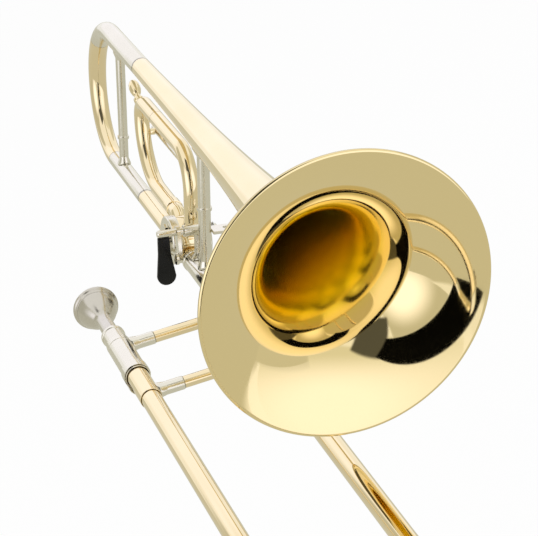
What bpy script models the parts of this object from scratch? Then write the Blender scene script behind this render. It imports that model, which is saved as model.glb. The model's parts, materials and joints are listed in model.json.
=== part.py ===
"""Alto trombone with a thumb valve, closed slide, as separate pieces at their real size.

+X points the way the bell points, +Y runs from the mouthpiece side of the slide to its lower tube,
+Z points from the slide up to the bell. The origin is the middle of the inner slide's hand brace.
The bell section is drawn in its own upright plane and leans about the lower tube as one frame.
"""

import math

import bmesh
import bpy
from mathutils import Matrix, Vector

MM = 0.001

# Gaps that every pair of pieces shares
SEAT_GAP = 0.3 * MM
RUNNING_GAP = 0.3 * MM
EDGE_BREAK = 0.3 * MM
BLUNT_EDGE = 0.4 * MM
TIP_CHAMFER = 1.2 * MM
WELD = 0.001 * MM

# Hand slide
SLIDE_SPACING = 84.0 * MM
OUTER_TUBE_RADIUS = 6.9 * MM
OUTER_TUBE_WALL = 0.4 * MM
INNER_TUBE_WALL = 0.4 * MM
STOCKING_STEP = 0.1 * MM
STOCKING_LENGTH = 60.0 * MM
STOCKING_SLOPE = 1.0 * MM
SLIDE_TRAVEL = 400.0 * MM
SLIDE_OVERLAP = 75.0 * MM
BOW_CLEARANCE = 8.0 * MM
SLEEVE_WALL = 0.4 * MM
SLEEVE_FRONT = 80.0 * MM
SLEEVE_ENTRY = 12.0 * MM

# Cork barrels, receiver and tenon
BARREL_RADIUS = 8.6 * MM
BARREL_WALL = 0.5 * MM
BARREL_BACK = -5.0 * MM
BARREL_FRONT = 47.0 * MM
BARREL_WEB = 11.0 * MM
BARREL_GROOVE = 0.3 * MM
GROOVE_WIDTH = 0.6 * MM
BARREL_GROOVE_X = 1.5 * MM
RECEIVER_BACK = -20.0 * MM
RECEIVER_RADIUS = 8.0 * MM
RECEIVER_LIP = 0.5 * MM
RECEIVER_BAND = 3.0 * MM
TENON_LENGTH = 31.0 * MM
TENON_TIP_RADIUS = 6.5 * MM
TENON_ROOT_RADIUS = 7.0 * MM
TENON_COLLAR_RADIUS = 8.6 * MM
TENON_COLLAR_LENGTH = 3.7 * MM
NUT_RADIUS = 11.0 * MM
NUT_LENGTH = 18.0 * MM
NUT_RIB = 0.35 * MM
NUT_SETBACK = 0.7 * MM
NUT_CHAMFER = 0.6 * MM
NUT_BEVEL = 0.8 * MM
NUT_FACETS = 24

# Mouthpiece
MOUTHPIECE_BACK = -71.0 * MM
MOUTHPIECE_RIM_RADIUS = 17.0 * MM
MOUTHPIECE_CUP_RADIUS = 12.2 * MM
MOUTHPIECE_CUP_LENGTH = 23.0 * MM
MOUTHPIECE_THROAT_RADIUS = 3.2 * MM
MOUTHPIECE_THROAT_LENGTH = 8.0 * MM
MOUTHPIECE_ROLL = 5.2 * MM
MOUTHPIECE_ROLL_DROP = 2.0 * MM
MOUTHPIECE_BITE = 1.4 * MM
MOUTHPIECE_BITE_DEPTH = 1.6 * MM
MOUTHPIECE_CUP_ROOT = 1.2 * MM
MOUTHPIECE_CUP_FLOOR = 1.0 * MM
MOUTHPIECE_SWELL = 1.6
MOUTHPIECE_BOWL = 0.55
SHANK_WALL = 0.7 * MM
SHANK_EASE = 0.3 * MM
SHANK_SHOW = 2.0 * MM
SHANK_ROOT_RADIUS = 5.2 * MM
SHANK_TIP_RADIUS = 5.8 * MM
SHANK_INSERTION = 21.0 * MM

# Slide lock ring
LOCK_RING_WALL = 0.5 * MM
LOCK_RING_LENGTH = 8.0 * MM
LOCK_RING_SETBACK = 1.5 * MM
LOCK_LUG_LENGTH = 10.0 * MM
LOCK_LUG_FROM = math.radians(200.0)
LOCK_LUG_TO = math.radians(246.0)

# The foot that every brace stands on
STRUT_FOOT = 5.0 * MM
SEAT_RINGS = 3

# Hand braces
BRACE_RADIUS = 4.1 * MM
BRACE_SOCKET_RADIUS = 4.6 * MM
BRACE_SOCKET_REACH = 25.0 * MM
SOCKET_CHAMFER = 0.4 * MM
OUTER_BRACE_X = 72.0 * MM

# Slide bow, bumper and water key
FERRULE_WALL = 0.7 * MM
FERRULE_OVERHANG = 2.0 * MM
FERRULE_LENGTH = 42.0 * MM
BUMPER_RADIUS = 5.5 * MM
BUMPER_LENGTH = 11.0 * MM
KEY_PIVOT_BACK = 32.0 * MM
KEY_NIPPLE_BACK = 20.0 * MM
KEY_PIVOT_DROP = 6.0 * MM
KEY_PLATE = 1.6 * MM
KEY_WIDTH = 7.0 * MM
KEY_LEVER_LENGTH = 34.0 * MM
KEY_LEVER_THICKNESS = 1.6 * MM
KEY_SPRING_REACH = 16.0 * MM
KEY_SPRING_FOOT = 4.0 * MM
KEY_SPRING_WIDTH = 3.0 * MM
KEY_SPRING_LEAF = 0.6 * MM
KEY_SPRING_TONGUE = 0.8 * MM
KEY_PIN_RADIUS = 0.9 * MM
NIPPLE_RADIUS = 2.6 * MM
PAD_RADIUS = 3.4 * MM
PAD_THICKNESS = 1.5 * MM

# Bell section: its lean about the lower tube and the two main axes
BELL_LEAN = math.radians(9.44)
BELL_HEIGHT = 110.0 * MM
BELL_RIM_X = 225.0 * MM
BELL_SEAM_X = -226.0 * MM
BELL_RADIUS = 91.5 * MM
BELL_WALL = 0.5 * MM
BELL_BEAD_RADIUS = 1.7 * MM
BELL_TAIL_RADIUS = 7.9 * MM
BELL_FLARE = 0.8
BELL_STATIONS = 12
BELL_STATION_CROWDING = 2.3

# Main tuning slide
TUNING_LEG_LENGTH = 94.0 * MM
TUNING_NICKEL_BEND = math.radians(45.0)
TUNING_INSERTION = 60.0 * MM
TUBE_WALL = 0.5 * MM
LEG_WALL = 0.4 * MM
TUNING_BRACE_FRONT = 26.3 * MM
TUNING_LEG_START = 9.0 * MM
TUNING_BRACE_RADIUS = 3.8 * MM
TUNING_COLLAR_HEIGHT = 29.0 * MM

# Neckpipe and bell receiver
NECK_RADIUS = 6.7 * MM
SOCKET_RADIUS = 8.4 * MM
SOCKET_BACK = -96.0 * MM
SOCKET_BEAD = 0.5 * MM
SOCKET_BAND = 3.0 * MM
SOCKET_EASE = 0.5 * MM
SOCKET_STEP = 36.0 * MM
BELL_BRACE_X = -65.0 * MM
BELL_BRACE_RADIUS = 4.6 * MM
BELL_BRACE_FLANGE = 8.0 * MM
BELL_COLLAR_HEIGHT = 54.0 * MM
TIE_HEIGHT = 36.0 * MM
TIE_REACH = 22.0 * MM
TIE_HALF_WIDTH = 6.0 * MM
TIE_HOLE_RADIUS = 2.2 * MM
TIE_THICKNESS = 2.4 * MM

# Rotary valve
VALVE_X = -117.0 * MM
VALVE_HEIGHT = 9.5 * MM
CASING_RADIUS = 17.5 * MM
CASING_WALL = 1.7 * MM
CASING_HALF_WIDTH = 12.0 * MM
CASING_END_WALL = 2.6 * MM
CASING_RIB = 0.7 * MM
CASING_BAND = 2.4 * MM
CAP_CHAMFER = 1.0 * MM
CAP_DISH = 0.8 * MM
CAP_KNURL = 0.4 * MM
PORT_RADIUS = 5.2 * MM
SPINDLE_RADIUS = 3.0 * MM
PASSAGE_RADIUS = 6.2 * MM
BEARING_PLATE = 2.2 * MM
CAP_THICKNESS = 4.0 * MM

# Stop arm, thumb lever and link
STOP_PLATE = 2.0 * MM
COVER_WALL = 0.8 * MM
COVER_EDGE = -7.2 * MM
ARM_THICKNESS = 2.6 * MM
STOP_ARM_REACH = 7.5 * MM
STOP_TONGUE_REACH = 14.0 * MM
STOP_TONGUE_WIDTH = 5.0 * MM
STOP_RADIUS = 12.0 * MM
BUMPER_POST_RADIUS = 2.2 * MM
ROTOR_TURN = math.radians(90.0)
LEVER_TURN = math.radians(30.0)
LEVER_X = -82.0 * MM
LEVER_HEIGHT = 31.0 * MM
LEVER_SHAFT_RADIUS = 2.8 * MM
LEVER_LEFT = -31.5 * MM
LEVER_RIGHT = 14.0 * MM
LEVER_BOSS_LEFT = -11.5 * MM
LEVER_BOSS_RIGHT = 6.0 * MM
LEVER_BOSS_WALL = 1.3 * MM
LEVER_POST_RADIUS = 3.2 * MM
LINK_THICKNESS = 1.9 * MM
LINK_EYE_RADIUS = 3.2 * MM
LINK_WIDTH = 3.0 * MM
PIN_RADIUS = 1.2 * MM
OPEN_PIVOT_CLEARANCE = 1.3 * MM
PADDLE_LENGTH = 38.0 * MM
PADDLE_TOP_WIDTH = 8.8 * MM
PADDLE_WIDTH = 14.4 * MM
PADDLE_THICKNESS = 4.0 * MM
PADDLE_SIDE = -26.7 * MM
PADDLE_DRIFT = 1.6 * MM
SPRING_WIRE_RADIUS = 0.35 * MM
SPRING_TURNS = 4

# Valve loop
LOOP_RADIUS = 6.0 * MM
LOOP_BELOW_BELL = 28.5 * MM
LOOP_BACK = -232.0 * MM
LOOP_TIGHT_BEND = 12.0 * MM
LOOP_SEAM_TOP_X = -186.0 * MM
LOOP_SEAM_LOW_X = -152.5 * MM
LOOP_FRONT_X = -97.0 * MM
LOOP_FRONT_BEND = 28.0 * MM
LOOP_INSERTION = 22.0 * MM
LOOP_LEG_START = 2.0 * MM
LOOP_LEG_CLEARANCE = 8.0 * MM
PORT_ANGLE = math.radians(45.0)
REAR_PORT_ANGLE = math.radians(142.0)
KNUCKLE_BEND = 10.0 * MM
KNUCKLE_STUB = 1.0 * MM
STAY_RADIUS = 3.5 * MM
STAY_BACK = -240.0 * MM
STAY_FRONT = -128.0 * MM
STAY_SIDE = 13.0 * MM
STAY_HEIGHT = 55.0 * MM
STAY_POST_RADIUS = 2.6 * MM
KNOB_RADIUS = 4.6 * MM
KNOB_COLLAR_RADIUS = 4.0 * MM
KNOB_STEM_RADIUS = 2.6 * MM
KNOB_LENGTH = 24.0 * MM
KNOB_FOOT_EDGE = 1.2 * MM
KNOB_COLLAR_END = 4.2 * MM
KNOB_STEM_START = 6.2 * MM
KNOB_STEM_END = 8.2 * MM
KNOB_ANGLE = math.radians(152.0)
FERRULE_STEP = 0.7 * MM
FERRULE_REACH = 9.0 * MM

# Facets round each kind of form
BELL_SIDES = 40
TUBE_SIDES = 16
LOOP_SIDES = 12
THIN_SIDES = 12
RING_SIDES = 18
VALVE_SIDES = 24

# Sizes worked out from the ones above
OUTER_BORE = OUTER_TUBE_RADIUS - OUTER_TUBE_WALL
STOCKING_RADIUS = OUTER_BORE - RUNNING_GAP
INNER_TUBE_RADIUS = STOCKING_RADIUS - STOCKING_STEP
INNER_BORE = INNER_TUBE_RADIUS - INNER_TUBE_WALL
SLEEVE_BORE = OUTER_TUBE_RADIUS + SEAT_GAP
SLEEVE_RADIUS = SLEEVE_BORE + SLEEVE_WALL
UPPER_Y = -SLIDE_SPACING / 2
LOWER_Y = SLIDE_SPACING / 2
OUTER_BACK = BARREL_FRONT - SLEEVE_ENTRY
INNER_BACK = BARREL_BACK + 0.6 * BARREL_WEB
INNER_FRONT = OUTER_BACK + SLIDE_TRAVEL + SLIDE_OVERLAP
BOW_X = INNER_FRONT + BOW_CLEARANCE
BOW_RADIUS = SLIDE_SPACING / 2
BUMPER_BACK = BOW_X + BOW_RADIUS + OUTER_TUBE_RADIUS + SEAT_GAP
RECEIVER_FRONT = BARREL_BACK - SEAT_GAP
SHANK_TIP_X = RECEIVER_BACK + SHANK_INSERTION
SOCKET_FRONT = RECEIVER_FRONT - TENON_COLLAR_LENGTH - 2 * MM
TENON_TIP_X = RECEIVER_FRONT - TENON_LENGTH
TUNING_BOW_X = BELL_SEAM_X - SEAT_GAP - TUNING_LEG_LENGTH
TUNING_BOW_RADIUS = BELL_HEIGHT / 2
TUNING_BRACE_X = TUNING_BOW_X + TUNING_BRACE_FRONT
TAIL_BORE = BELL_TAIL_RADIUS - TUBE_WALL
NECK_BORE = NECK_RADIUS - TUBE_WALL
LOOP_BORE = LOOP_RADIUS - TUBE_WALL
ROTOR_RADIUS = CASING_RADIUS - CASING_WALL - RUNNING_GAP
CASING_SEAT = CASING_RADIUS + SEAT_GAP
ARM_OUTER = -(CASING_HALF_WIDTH + SEAT_GAP + STOP_PLATE + RUNNING_GAP + ARM_THICKNESS)
LINK_OUTER = ARM_OUTER - RUNNING_GAP - LINK_THICKNESS
BELL_LENGTH = BELL_RIM_X - BELL_SEAM_X
LOOP_TOP = BELL_HEIGHT - LOOP_BELOW_BELL
LOOP_LOW = (VALVE_HEIGHT + (CASING_SEAT + KNUCKLE_STUB) * math.sin(REAR_PORT_ANGLE)
            + KNUCKLE_BEND * (1 + math.cos(REAR_PORT_ANGLE)))
LOOP_WIDE_BEND = LOOP_TOP - LOOP_TIGHT_BEND - LOOP_LOW

BRASS = ((0.86, 0.66, 0.30), 0.16, 1.0)
NICKEL = ((0.74, 0.71, 0.64), 0.24, 1.0)
SILVER = ((0.84, 0.82, 0.77), 0.18, 1.0)
CHROME = ((0.80, 0.80, 0.80), 0.10, 1.0)
STEEL = ((0.55, 0.55, 0.55), 0.30, 1.0)
BLACK = ((0.012, 0.012, 0.012), 0.35, 0.0)
RUBBER = ((0.02, 0.02, 0.02), 0.70, 0.0)
CORK = ((0.55, 0.38, 0.22), 0.85, 0.0)


def clear_scene():
    """Start from an empty scene."""
    for obj in list(bpy.data.objects):
        bpy.data.objects.remove(obj, do_unlink=True)


def make_material(name, finish):
    """One Principled material for one piece."""
    colour, roughness, metallic = finish
    material = bpy.data.materials.new(name + "_finish")
    material.use_nodes = True
    shader = material.node_tree.nodes["Principled BSDF"]
    shader.inputs["Base Color"].default_value = (*colour, 1.0)
    shader.inputs["Roughness"].default_value = roughness
    shader.inputs["Metallic"].default_value = metallic
    return material


def make_empty(name, location, rotation=(0.0, 0.0, 0.0), parent=None):
    """An empty that carries pieces and marks a joint's axis."""
    empty = bpy.data.objects.new(name, None)
    empty.location = location
    empty.rotation_euler = rotation
    empty.parent = parent
    bpy.context.collection.objects.link(empty)
    return empty


def place(name, bm, finish, parent, location=(0.0, 0.0, 0.0), rotation=(0.0, 0.0, 0.0)):
    """Turn a finished bmesh into a named, smooth-shaded piece under its carrier."""
    bmesh.ops.remove_doubles(bm, verts=bm.verts, dist=WELD)
    bmesh.ops.recalc_face_normals(bm, faces=bm.faces)
    mesh = bpy.data.meshes.new(name)
    bm.to_mesh(mesh)
    bm.free()
    for polygon in mesh.polygons:
        polygon.use_smooth = True
    mesh.set_sharp_from_angle(angle=math.radians(35.0))
    mesh.materials.append(make_material(name, finish))
    piece = bpy.data.objects.new(name, mesh)
    piece.location = location
    piece.rotation_euler = rotation
    piece.parent = parent
    bpy.context.collection.objects.link(piece)
    return piece


AXIS = {"X": Vector((1, 0, 0)), "Y": Vector((0, 1, 0)), "Z": Vector((0, 0, 1))}
ACROSS = {"X": Vector((0, 0, 1)), "Y": Vector((1, 0, 0)), "Z": Vector((1, 0, 0))}


def turned(profile, sides=TUBE_SIDES, axis="X"):
    """Spin a closed outline of (along, radius) points into a solid of revolution."""
    bm = bmesh.new()
    verts = [bm.verts.new(AXIS[axis] * along + ACROSS[axis] * radius) for along, radius in profile]
    edges = [bm.edges.new((verts[i - 1], verts[i])) for i in range(len(verts))]
    bmesh.ops.spin(bm, geom=verts + edges, cent=(0, 0, 0), axis=AXIS[axis], angle=2 * math.pi,
                   steps=sides, use_merge=True, use_duplicate=False)
    bmesh.ops.remove_doubles(bm, verts=bm.verts, dist=WELD)
    bmesh.ops.recalc_face_normals(bm, faces=bm.faces)
    return bm


def tube_profile(back, front, outer, bore):
    """A plain tube's wall in section."""
    return [(back, bore), (back, outer), (front, outer), (front, bore)]


def rod_profile(back, front, radius, round_off=0.0):
    """A solid rod's section, with its rims taken off by round_off."""
    profile = [(back, 0.0)]
    if round_off:
        profile += [(back, radius - round_off), (back + round_off, radius)]
        profile += [(front - round_off, radius), (front, radius - round_off)]
    else:
        profile += [(back, radius), (front, radius)]
    return profile + [(front, 0.0)]


class Route:
    """A flat run of straights and bends, drawn in a plane and read off as stations."""

    def __init__(self, start, heading):
        self.point = Vector(start)
        self.heading = heading
        self.stations = [(self.point.copy(), heading)]

    def straight(self, length):
        self.point += Vector((math.cos(self.heading), math.sin(self.heading))) * length
        self.stations.append((self.point.copy(), self.heading))
        return self

    def bend(self, radius, angle, steps):
        """Turn left for a positive angle, right for a negative one."""
        side = math.copysign(1.0, angle)
        centre = self.point + Vector((-math.sin(self.heading), math.cos(self.heading))) * radius * side
        start = self.heading
        for step in range(1, steps + 1):
            heading = start + angle * step / steps
            out = Vector((math.sin(heading), -math.cos(heading))) * radius * side
            self.stations.append((centre + out, heading))
        self.point = self.stations[-1][0].copy()
        self.heading = self.stations[-1][1]
        return self


def swept(route, outer, wall, sides=TUBE_SIDES, outer_end=None, plane="XZ", sleeve=0.0):
    """Carry a ring along a route and close it into an open tube, its last run thickened by sleeve."""
    outer_end = outer if outer_end is None else outer_end
    lengths = [0.0]
    for (a, _), (b, _) in zip(route.stations, route.stations[1:]):
        lengths.append(lengths[-1] + (b - a).length)
    side = Vector((0, 1, 0)) if plane == "XZ" else Vector((0, 0, 1))
    bm = bmesh.new()

    def ring(point, heading, radius):
        if plane == "XZ":
            centre = Vector((point.x, 0, point.y))
            normal = Vector((-math.sin(heading), 0, math.cos(heading)))
        else:
            centre = Vector((point.x, point.y, 0))
            normal = Vector((-math.sin(heading), math.cos(heading), 0))
        verts = []
        for i in range(sides):
            angle = 2 * math.pi * i / sides
            out = normal * math.cos(angle) + side * math.sin(angle)
            verts.append(bm.verts.new(centre + out * radius))
        return verts

    radii = [outer + (outer_end - outer) * length / lengths[-1] for length in lengths]
    skins = [ring(p, h, r) for (p, h), r in zip(route.stations, radii)]
    if sleeve:
        (step, heading), (end, _) = route.stations[-2:]
        skins = skins[:-1] + [ring(step, heading, outer + sleeve), ring(end, heading, outer + sleeve)]
    bores = [ring(p, h, r - wall) for (p, h), r in zip(route.stations, radii)]
    rings = skins + bores[::-1]
    for a, b in zip(rings, rings[1:] + rings[:1]):
        for i in range(sides):
            j = (i + 1) % sides
            bm.faces.new((a[i], a[j], b[j], b[i]))
    return bm


def saddle(bm, start, start_surface, end, end_surface):
    """Fit the ends of an upright strut to the surfaces that it stands on and carries."""
    middle = (start + end) / 2
    for vert in bm.verts:
        x, y, z = vert.co
        if start_surface and z < middle and z - start < STRUT_FOOT * 1.01:
            vert.co.z += start_surface(x, y) - start
        if end_surface and z > middle and end - z < STRUT_FOOT * 1.01:
            vert.co.z += end_surface(x, y) - end


def round_surface(centre, radius, sign):
    """Height of a round tube's skin, whose axis runs along X at the given height."""
    return lambda x, y: centre + sign * math.sqrt(max(radius * radius - y * y, 0.0))


def seat_rings(height, flange):
    """The seat of a strut, with enough rings to follow the tube that it sits on."""
    return [(height, flange * step / SEAT_RINGS) for step in range(SEAT_RINGS + 1)]


def strut(reach, start_radius, end_radius, radius, start_flange, end_flange, collar=None,
          collar_radius=0.0, end_surface=None):
    """A brace tube between two tubes that run along X, one at height 0 and one at reach."""
    start = start_radius + SEAT_GAP
    end = reach - end_radius - SEAT_GAP
    rim = 0.25 * STRUT_FOOT
    profile = seat_rings(start, start_flange) + [(start + rim, start_flange), (start + STRUT_FOOT, radius)]
    if collar:
        half = 1.2 * MM
        profile += [(collar - half, radius), (collar - half, collar_radius)]
        profile += [(collar + half, collar_radius), (collar + half, radius)]
    profile += [(end - STRUT_FOOT, radius), (end - rim, end_flange)] + seat_rings(end, end_flange)[::-1]
    bm = turned(profile, THIN_SIDES + 2, "Z")
    surface = end_surface or round_surface(reach, end_radius + SEAT_GAP, -1)
    saddle(bm, start, round_surface(0.0, start_radius + SEAT_GAP, 1), end, surface)
    return bm


def plate(outlines, low, high, plane="XZ"):
    """Fill a flat outline, holes included, and give it thickness across its plane."""
    curve = bpy.data.curves.new("outline", "CURVE")
    curve.dimensions = "2D"
    curve.fill_mode = "BOTH"
    curve.extrude = (high - low) / 2
    for outline in outlines:
        spline = curve.splines.new("POLY")
        spline.points.add(len(outline) - 1)
        for point, (u, v) in zip(spline.points, outline):
            point.co = (u, v, 0.0, 1.0)
        spline.use_cyclic_u = True
    holder = bpy.data.objects.new("outline", curve)
    bpy.context.collection.objects.link(holder)
    graph = bpy.context.evaluated_depsgraph_get()
    bm = bmesh.new()
    mesh = bpy.data.meshes.new_from_object(holder.evaluated_get(graph))
    bm.from_mesh(mesh)
    bpy.data.meshes.remove(mesh)
    bpy.data.objects.remove(holder, do_unlink=True)
    bpy.data.curves.remove(curve)
    middle = (low + high) / 2
    for vert in bm.verts:
        u, v, w = vert.co
        vert.co = (u, middle - w, v) if plane == "XZ" else (middle + w, u, v)
    bmesh.ops.remove_doubles(bm, verts=bm.verts, dist=WELD)
    bmesh.ops.recalc_face_normals(bm, faces=bm.faces)
    return bm


def circle(centre, radius, count=12, start=0.0, sweep=2 * math.pi):
    """Points round a circle or along an arc of one."""
    closed = abs(sweep) >= 2 * math.pi - 1e-6
    steps = count if closed else count - 1
    return [(centre[0] + radius * math.cos(start + sweep * i / steps),
             centre[1] + radius * math.sin(start + sweep * i / steps)) for i in range(count)]


def polar(centre, radius, angle):
    return (centre[0] + radius * math.cos(angle), centre[1] + radius * math.sin(angle))


def combined(base, tools, operation):
    """Join solids to a base, or cut them from it, with Blender's exact boolean in millimetres."""
    def holder(bm):
        bmesh.ops.scale(bm, verts=bm.verts, vec=(1 / MM, 1 / MM, 1 / MM))
        mesh = bpy.data.meshes.new("tool")
        bm.to_mesh(mesh)
        bm.free()
        obj = bpy.data.objects.new("tool", mesh)
        bpy.context.collection.objects.link(obj)
        return obj

    base_object = holder(base)
    tool_objects = [holder(tool) for tool in tools]
    for tool in tool_objects:
        modifier = base_object.modifiers.new("boolean", "BOOLEAN")
        modifier.operation = operation
        modifier.solver = "EXACT"
        modifier.object = tool
    graph = bpy.context.evaluated_depsgraph_get()
    result = bmesh.new()
    mesh = bpy.data.meshes.new_from_object(base_object.evaluated_get(graph))
    result.from_mesh(mesh)
    bmesh.ops.scale(result, verts=result.verts, vec=(MM, MM, MM))
    for obj in [base_object] + tool_objects:
        bpy.data.objects.remove(obj, do_unlink=True)
    return result


def moved(bm, offset):
    bmesh.ops.translate(bm, verts=bm.verts, vec=Vector(offset))
    return bm


def bell_radius(x):
    """Outer radius of the bell, a horn whose flare steepens towards the rim."""
    ratio = (BELL_TAIL_RADIUS / (BELL_RADIUS - BELL_BEAD_RADIUS)) ** (1 / BELL_FLARE)
    lead = BELL_LENGTH * ratio / (1 - ratio)
    from_rim = BELL_RIM_X - BELL_BEAD_RADIUS - x
    return (BELL_RADIUS - BELL_BEAD_RADIUS) * (lead / (lead + max(from_rim, 0.0))) ** BELL_FLARE


def make_bell(frame):
    """The spun bell: a thin flared wall from the tail to the rolled bead at the rim."""
    rim = BELL_RIM_X - BELL_BEAD_RADIUS
    shares = [1 - i / BELL_STATIONS for i in range(BELL_STATIONS)]
    stations = [rim - (rim - BELL_SEAM_X) * share ** BELL_STATION_CROWDING for share in shares]
    skin = [(x, bell_radius(x)) for x in stations]
    bore = [(x, bell_radius(x) - BELL_WALL) for x in stations]
    centre = (rim, BELL_RADIUS - BELL_BEAD_RADIUS)
    bead = circle(centre, BELL_BEAD_RADIUS, 6, math.radians(200), math.radians(-310))
    bm = turned(skin + bead + bore[::-1], BELL_SIDES)
    place("bell", bm, BRASS, frame, (0, 0, BELL_HEIGHT))


def make_tuning_slide(frame):
    """Main tuning slide: two nickel legs, a tapered brass bow, inner legs and a brace."""
    back, front = TUNING_BOW_X, BELL_SEAM_X - SEAT_GAP
    for name, height, radius in (("upper", BELL_HEIGHT, BELL_TAIL_RADIUS), ("lower", 0.0, NECK_RADIUS)):
        bore = radius - TUBE_WALL
        if name == "upper":
            bent = Route((front, height), math.pi).straight(front - back)
            bent.bend(TUNING_BOW_RADIUS, TUNING_NICKEL_BEND, 4)
            place("tuning_sleeve_upper", swept(bent, radius, TUBE_WALL), NICKEL, frame)
        else:
            sleeve = turned(tube_profile(back, front, radius, bore))
            place("tuning_sleeve_lower", sleeve, NICKEL, frame)
        leg = bore - RUNNING_GAP
        inner = turned(tube_profile(back + TUNING_LEG_START, front + TUNING_INSERTION, leg, leg - LEG_WALL))
        place("tuning_inner_leg_" + name, inner, NICKEL, frame, (0, 0, height))
    begin = TUNING_NICKEL_BEND + SEAT_GAP / TUNING_BOW_RADIUS
    start = polar((back, TUNING_BOW_RADIUS), TUNING_BOW_RADIUS, math.pi / 2 + begin)
    route = Route(start, math.pi + begin)
    route.bend(TUNING_BOW_RADIUS, math.pi - begin - SEAT_GAP / TUNING_BOW_RADIUS, 10)
    bow = swept(route, BELL_TAIL_RADIUS, TUBE_WALL, TUBE_SIDES, NECK_RADIUS)
    place("tuning_bow", bow, BRASS, frame)
    brace = strut(BELL_HEIGHT, NECK_RADIUS, BELL_TAIL_RADIUS, TUNING_BRACE_RADIUS, 1.45 * TUNING_BRACE_RADIUS,
                  1.45 * TUNING_BRACE_RADIUS, TUNING_COLLAR_HEIGHT, 1.25 * TUNING_BRACE_RADIUS)
    place("tuning_brace", brace, NICKEL, frame, (TUNING_BRACE_X, 0, 0))


def casing_edge(height):
    """How far the valve casing's seat reaches along X at a height in the bell section."""
    rise = height - VALVE_HEIGHT
    return math.sqrt(max(CASING_SEAT * CASING_SEAT - rise * rise, 0.0))


def make_neckpipe(frame):
    """The neckpipe behind the valve, the gooseneck before it, and the slide receiver."""
    back = turned(tube_profile(BELL_SEAM_X, VALVE_X - casing_edge(0.0), NECK_RADIUS, NECK_BORE))
    for vert in back.verts:
        if vert.co.x > BELL_SEAM_X + 1 * MM:
            vert.co.x = VALVE_X - casing_edge(vert.co.z)
    place("neckpipe", back, BRASS, frame)
    step = SOCKET_BACK + SOCKET_STEP
    front = turned(tube_profile(VALVE_X, step - SEAT_GAP, NECK_RADIUS, NECK_BORE))
    for vert in front.verts:
        if vert.co.x < VALVE_X + 1 * MM:
            vert.co.x = VALVE_X + casing_edge(vert.co.z)
    place("gooseneck", front, BRASS, frame)
    fit = NECK_RADIUS + SEAT_GAP
    bead = SOCKET_RADIUS + SOCKET_BEAD
    taper = TENON_TIP_X - 2 * MM
    profile = [(SOCKET_BACK, fit), (SOCKET_BACK, bead), (SOCKET_BACK + SOCKET_BAND, bead),
               (SOCKET_BACK + SOCKET_BAND + SOCKET_EASE, SOCKET_RADIUS),
               (SOCKET_FRONT - SOCKET_BAND, SOCKET_RADIUS),
               (SOCKET_FRONT - SOCKET_BAND + SOCKET_EASE, bead), (SOCKET_FRONT, bead),
               (SOCKET_FRONT, TENON_ROOT_RADIUS + SEAT_GAP), (taper, TENON_TIP_RADIUS + SEAT_GAP),
               (taper, NECK_BORE), (step, NECK_BORE), (step, fit)]
    place("bell_receiver", turned(profile, RING_SIDES), NICKEL, frame)


def make_bell_brace(frame):
    """The upright brace from the receiver to the bell, and the tie plate at its foot."""
    radius_at_bell = bell_radius(BELL_BRACE_X)

    def bell_skin(x, y):
        radius = bell_radius(BELL_BRACE_X + x) + SEAT_GAP
        return BELL_HEIGHT - math.sqrt(radius * radius - y * y)

    brace = strut(BELL_HEIGHT, SOCKET_RADIUS, radius_at_bell, BELL_BRACE_RADIUS, 1.3 * BELL_BRACE_RADIUS,
                  BELL_BRACE_FLANGE, BELL_COLLAR_HEIGHT, 1.2 * BELL_BRACE_RADIUS, bell_skin)
    place("bell_brace", brace, NICKEL, frame, (BELL_BRACE_X, 0, 0))
    near = BELL_BRACE_RADIUS + SEAT_GAP
    half = TIE_HALF_WIDTH
    outline = [(-half, near), (half, near)] + circle((0, TIE_REACH - half), half, 9, 0.0, math.pi)
    hole = circle((0, TIE_REACH - half), TIE_HOLE_RADIUS, 12)
    tie = plate([outline, hole], -TIE_THICKNESS / 2, TIE_THICKNESS / 2)
    turn = Matrix.Rotation(math.radians(-90), 3, "X")
    bmesh.ops.rotate(tie, verts=tie.verts, cent=(0, 0, 0), matrix=turn)
    place("brace_plate", tie, NICKEL, frame, (BELL_BRACE_X, 0, TIE_HEIGHT))


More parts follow.
